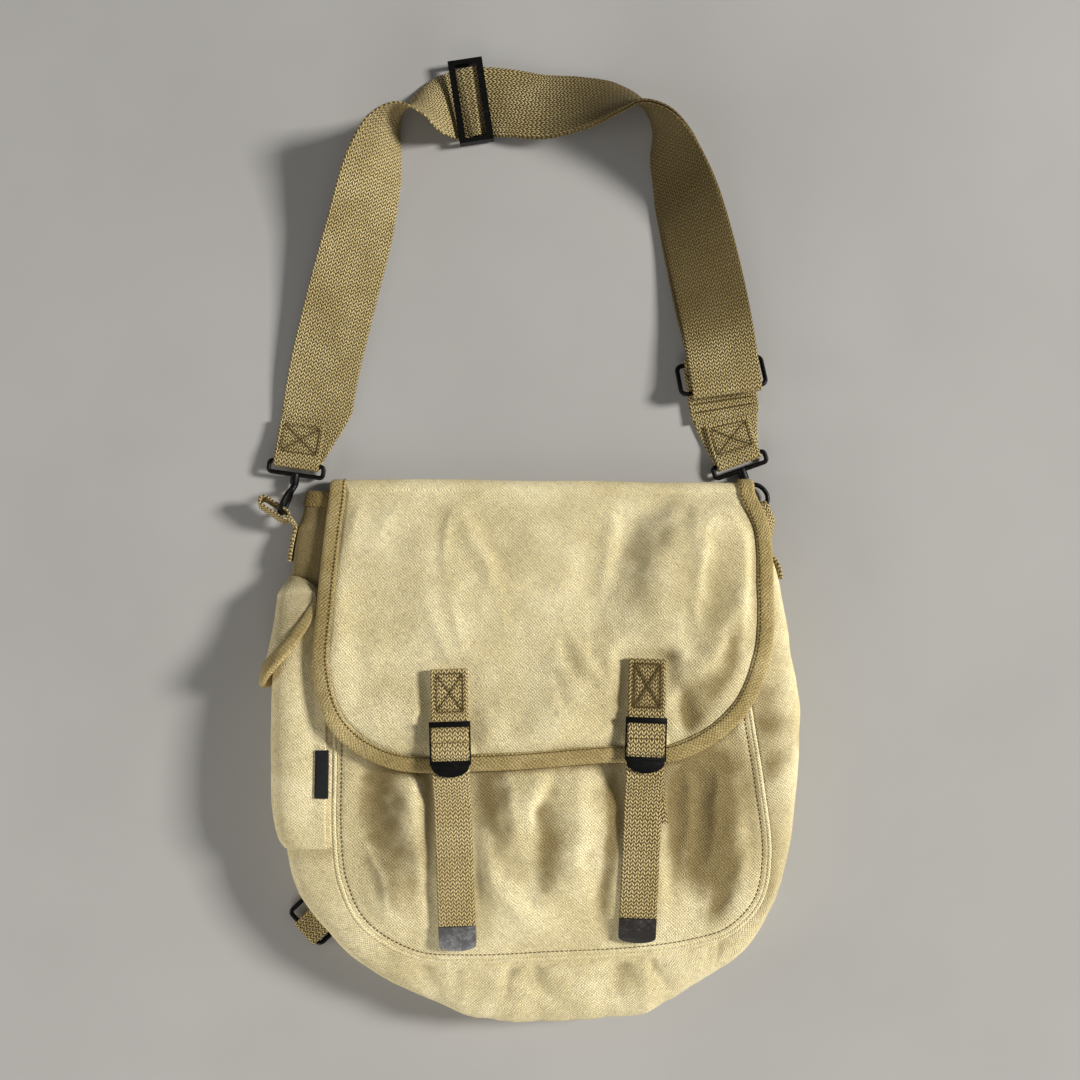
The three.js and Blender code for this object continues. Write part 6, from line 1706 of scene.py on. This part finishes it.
def tab_frame(d):
    d = np.atleast_1d(np.asarray(d, float))
    pieces = (np.arange(40) + 0.5) / 40
    steps = turned(tab_run, tab_heading(d[:, None] * pieces))
    run = turned(tab_run, tab_heading(d))
    ups = np.broadcast_to(UP, run.shape)
    return Frame(tab_start + steps.mean(1) * d[:, None], run, np.cross(ups, run), ups)


def tab_half(d):
    return lerp(HALF, END_WIDTH / 2, np.clip((d - TAB_TAPER_FROM) / (TAB_LENGTH - TAB_TAPER_FROM), 0, 1))


def tab_layer(d, end):
    return lerp(END_LAYER, CLOSE_LAYER, np.clip(np.abs(d - end) / 13, 0, 1))


def tab_stretch(start, end, count, layer, width):
    d = np.linspace(start, end, count)
    return strap_pair(tab_frame(d), layer(d), -width(d), width(d))


def free_end_layer(d):
    return tab_layer(d, 0) + 0.9 * smoothstep(d, TAB_SEWN_LENGTH - 6, TAB_SEWN_LENGTH)


def single(spot):
    return Frame(*(v[0] for v in spot))


upper_tab = tab_stretch(TAB_SEWN_LENGTH, 1, 40, free_end_layer, tab_half)
lower_patch = tab_stretch(TAB_LENGTH - 1, TAB_SEWN_LENGTH + 3, 16, lambda d: tab_layer(d, TAB_LENGTH),
                          lambda d: d * 0 + END_WIDTH / 2)
tab_pairs = np.concatenate([
    upper_tab,
    wrap_turn(single(tab_frame(0.0)), -1, -HALF, HALF, math.pi, 0),
    tab_stretch(4, TAB_LENGTH - 1, 40, lambda d: d * 0, tab_half),
    wrap_turn(single(tab_frame(TAB_LENGTH)), 1, -END_WIDTH / 2, END_WIDTH / 2, 0, math.pi),
    lower_patch])
across = np.linspace(-HALF + 3, HALF - 3, 45)
row_lines = [np.stack([across, across * 0 + place], -1) for place in (6.5, 12.5)]
patch_size = lengths_along(lower_patch.mean(1))[-1]
patch_from = lengths_along(tab_pairs.mean(1))[-1] - patch_size
patch_lines = [line + (0, patch_from) for line in
               box_cross(-END_WIDTH / 2 + 3, END_WIDTH / 2 - 3, 6, patch_size - 2)]
hook_tab = ribbon("hook_tab_webbing", tab_pairs, STRAP_THICK, [row_lines, patch_lines], soil=0.05)
finish_piece(hook_tab, WIDE_WEBBING, "webbing", "hook_tab_right")
sew_on(tab_pairs, STRAP_THICK, row_lines + patch_lines)

tab_end = single(tab_frame(TAB_LENGTH))
right_bar = tab_end.centre + UP * WRAP_RADIUS
right_across, right_eye = place_hook("right", right_bar, -tab_end.width, -tab_end.run, RIGHT_SHAFT,
                                     np.cross(unit(RIGHT_SHAFT), UP))
right_seat = loop_seat([LAST_SECTION - 1.75, LAST_SECTION - 2, LAST_SECTION - 2.2], 0.6)
right_to = right_seat[0] - right_eye
right_to = unit((right_to - right_across * np.dot(right_to, right_across)) * (1, 1, 0))
side_loop("right", right_eye, right_across, right_to, right_seat, UP)

# Tab at the lower left corner with its ring turned back under it
corner_point, corner_out, corner_bulge, corner_tuck = seam_frame(BACK_TAB_SECTION)
back_out = np.array([math.cos(BACK_TAB_ANGLE), math.sin(BACK_TAB_ANGLE), 0])
back_side = np.cross(UP, back_out)
back_start = corner_point + corner_out * (corner_bulge - corner_tuck + BACK_TAB_START)
back_turn = WIRE_RADIUS + GAP + NARROW_THICK / 2
back_base = NARROW_THICK / 2 + 0.1
back_top = back_base + 2 * back_turn
over_ring = 2 * WIRE_RADIUS + GAP + 0.1
lower = np.linspace(0, 28, 40)
turns = np.linspace(0, math.pi, 16)
reach = np.concatenate([lower, BACK_TAB_LENGTH + back_turn * np.sin(turns), np.linspace(28, 14, 12)])
height = np.concatenate([back_base + over_ring * np.sin(np.pi * np.clip(lower / BACK_TAB_HUMP, 0, 1)),
                         back_base + back_turn * (1 - np.cos(turns)), np.full(12, back_top + 0.1)])
middles = with_z(back_start + back_out * reach[:, None], height)
back_half = back_side * BACK_TAB_WIDTH / 2
back_tab = ribbon("back_tab_webbing", np.stack([middles - back_half, middles + back_half], 1), NARROW_THICK)
finish_piece(back_tab, NARROW_WEBBING, "webbing", "back_tab")
back_bars = BACK_RING_DEPTH - 2 * WIRE_RADIUS
back_drop = back_turn + back_base - WIRE_RADIUS - 0.1
back_ring_y = unit(-back_out * math.sqrt(back_bars ** 2 - back_drop ** 2) - UP * back_drop)
back_ring_middle = (with_z(back_start + back_out * BACK_TAB_LENGTH, np.array(back_base + back_turn))
                    + back_ring_y * back_bars / 2 + back_side * BACK_RING_SHIFT)
set_in_place(bent_wire(BACK_RING_WIDTH, BACK_RING_DEPTH, BACK_RING_CORNER, WIRE_RADIUS), "back_ring_metal",
             "back_ring", back_side, back_ring_y, back_ring_middle)
stitches("strap_stitches", strap_stitch_rows, BROWN_THREAD, "webbing")

# Seam stitches on the cloth
line = seam_point(np.linspace(0, LAST_SECTION, 900), -SEAM_STITCH_INSET)
line[:, 2] -= 0.5
seam_rows = stitch_row(line, np.repeat(UP[None], len(line), 0), 3.0, 2.1, 0.32, 0.0)
stitches("seam_stitches", seam_rows, BROWN_THREAD, "canvas")
rim_points, rim_normals = flap_rim_place(TAPE_SHOWN - 1.5, TAPE_GAP + TAPE)
rim_rows = stitch_row(rim_points, rim_normals, 2.8, 2.0, 0.32, 0.05)
stitches("binding_stitches", rim_rows, BROWN_THREAD, "binding_tape")


# Floor, light and camera

def area_light(name, place, target, size, power, tint):
    data = bpy.data.lights.new(name, "AREA")
    data.shape = "SQUARE"
    data.size = size
    data.energy = power
    data.color = tint
    lamp = bpy.data.objects.new(name, data)
    bpy.context.scene.collection.objects.link(lamp)
    lamp.location = place
    lamp.rotation_mode = "QUATERNION"
    lamp.rotation_quaternion = (Vector(target) - Vector(place)).to_track_quat("-Z", "Y")


bpy.ops.object.select_all(action="DESELECT")
bpy.ops.mesh.primitive_plane_add(size=8)
floor = bpy.context.object
floor.name = "floor"
floor_material, floor_tree, floor_surface = new_material("pale_floor")
floor_place = add_node(floor_tree, "ShaderNodeTexCoord").outputs["Object"]
floor_tone = ranged(floor_tree, noise(floor_tree, floor_place, 5.0), 0.3, 0.7, 0.0, 1.0)
floor_tree.links.new(mixed(floor_tree, floor_tone, colour(0.45, 0.445, 0.44), colour(0.48, 0.475, 0.47)),
                     floor_surface.inputs["Base Color"])
floor_surface.inputs["Roughness"].default_value = 0.85
floor.data.materials.append(floor_material)

world = bpy.data.worlds.new("studio")
world.use_nodes = True
world.node_tree.nodes["Background"].inputs["Color"].default_value = colour(0.95, 0.97, 1.0)
world.node_tree.nodes["Background"].inputs["Strength"].default_value = 0.1
bpy.context.scene.world = world
area_light("key_light", (3.9, 0.75, 2.4), (0.0, -0.05, 0.0), 0.84, 258.0, (1.0, 0.97, 0.91))
area_light("low_fill", (-0.45, -1.6, 0.75), (0.0, -0.05, 0.0), 1.2, 11.0, (1.0, 0.96, 0.89))
area_light("left_fill", (-1.8, -0.25, 0.5), (0.0, -0.1, 0.0), 0.8, 10.0, (1.0, 0.96, 0.89))

CAMERA_HEIGHT, VIEW_WIDTH, SENSOR_WIDTH = 850, 1080 * 0.70, 36.0
camera_data = bpy.data.cameras.new("camera")
camera_data.sensor_width = SENSOR_WIDTH
camera_data.lens = SENSOR_WIDTH * CAMERA_HEIGHT / VIEW_WIDTH
camera = bpy.data.objects.new("camera", camera_data)
camera.location = on_part((0, 0, CAMERA_HEIGHT))
bpy.context.scene.collection.objects.link(camera)
bpy.context.scene.camera = camera
bpy.context.scene.view_settings.view_transform = "Standard"
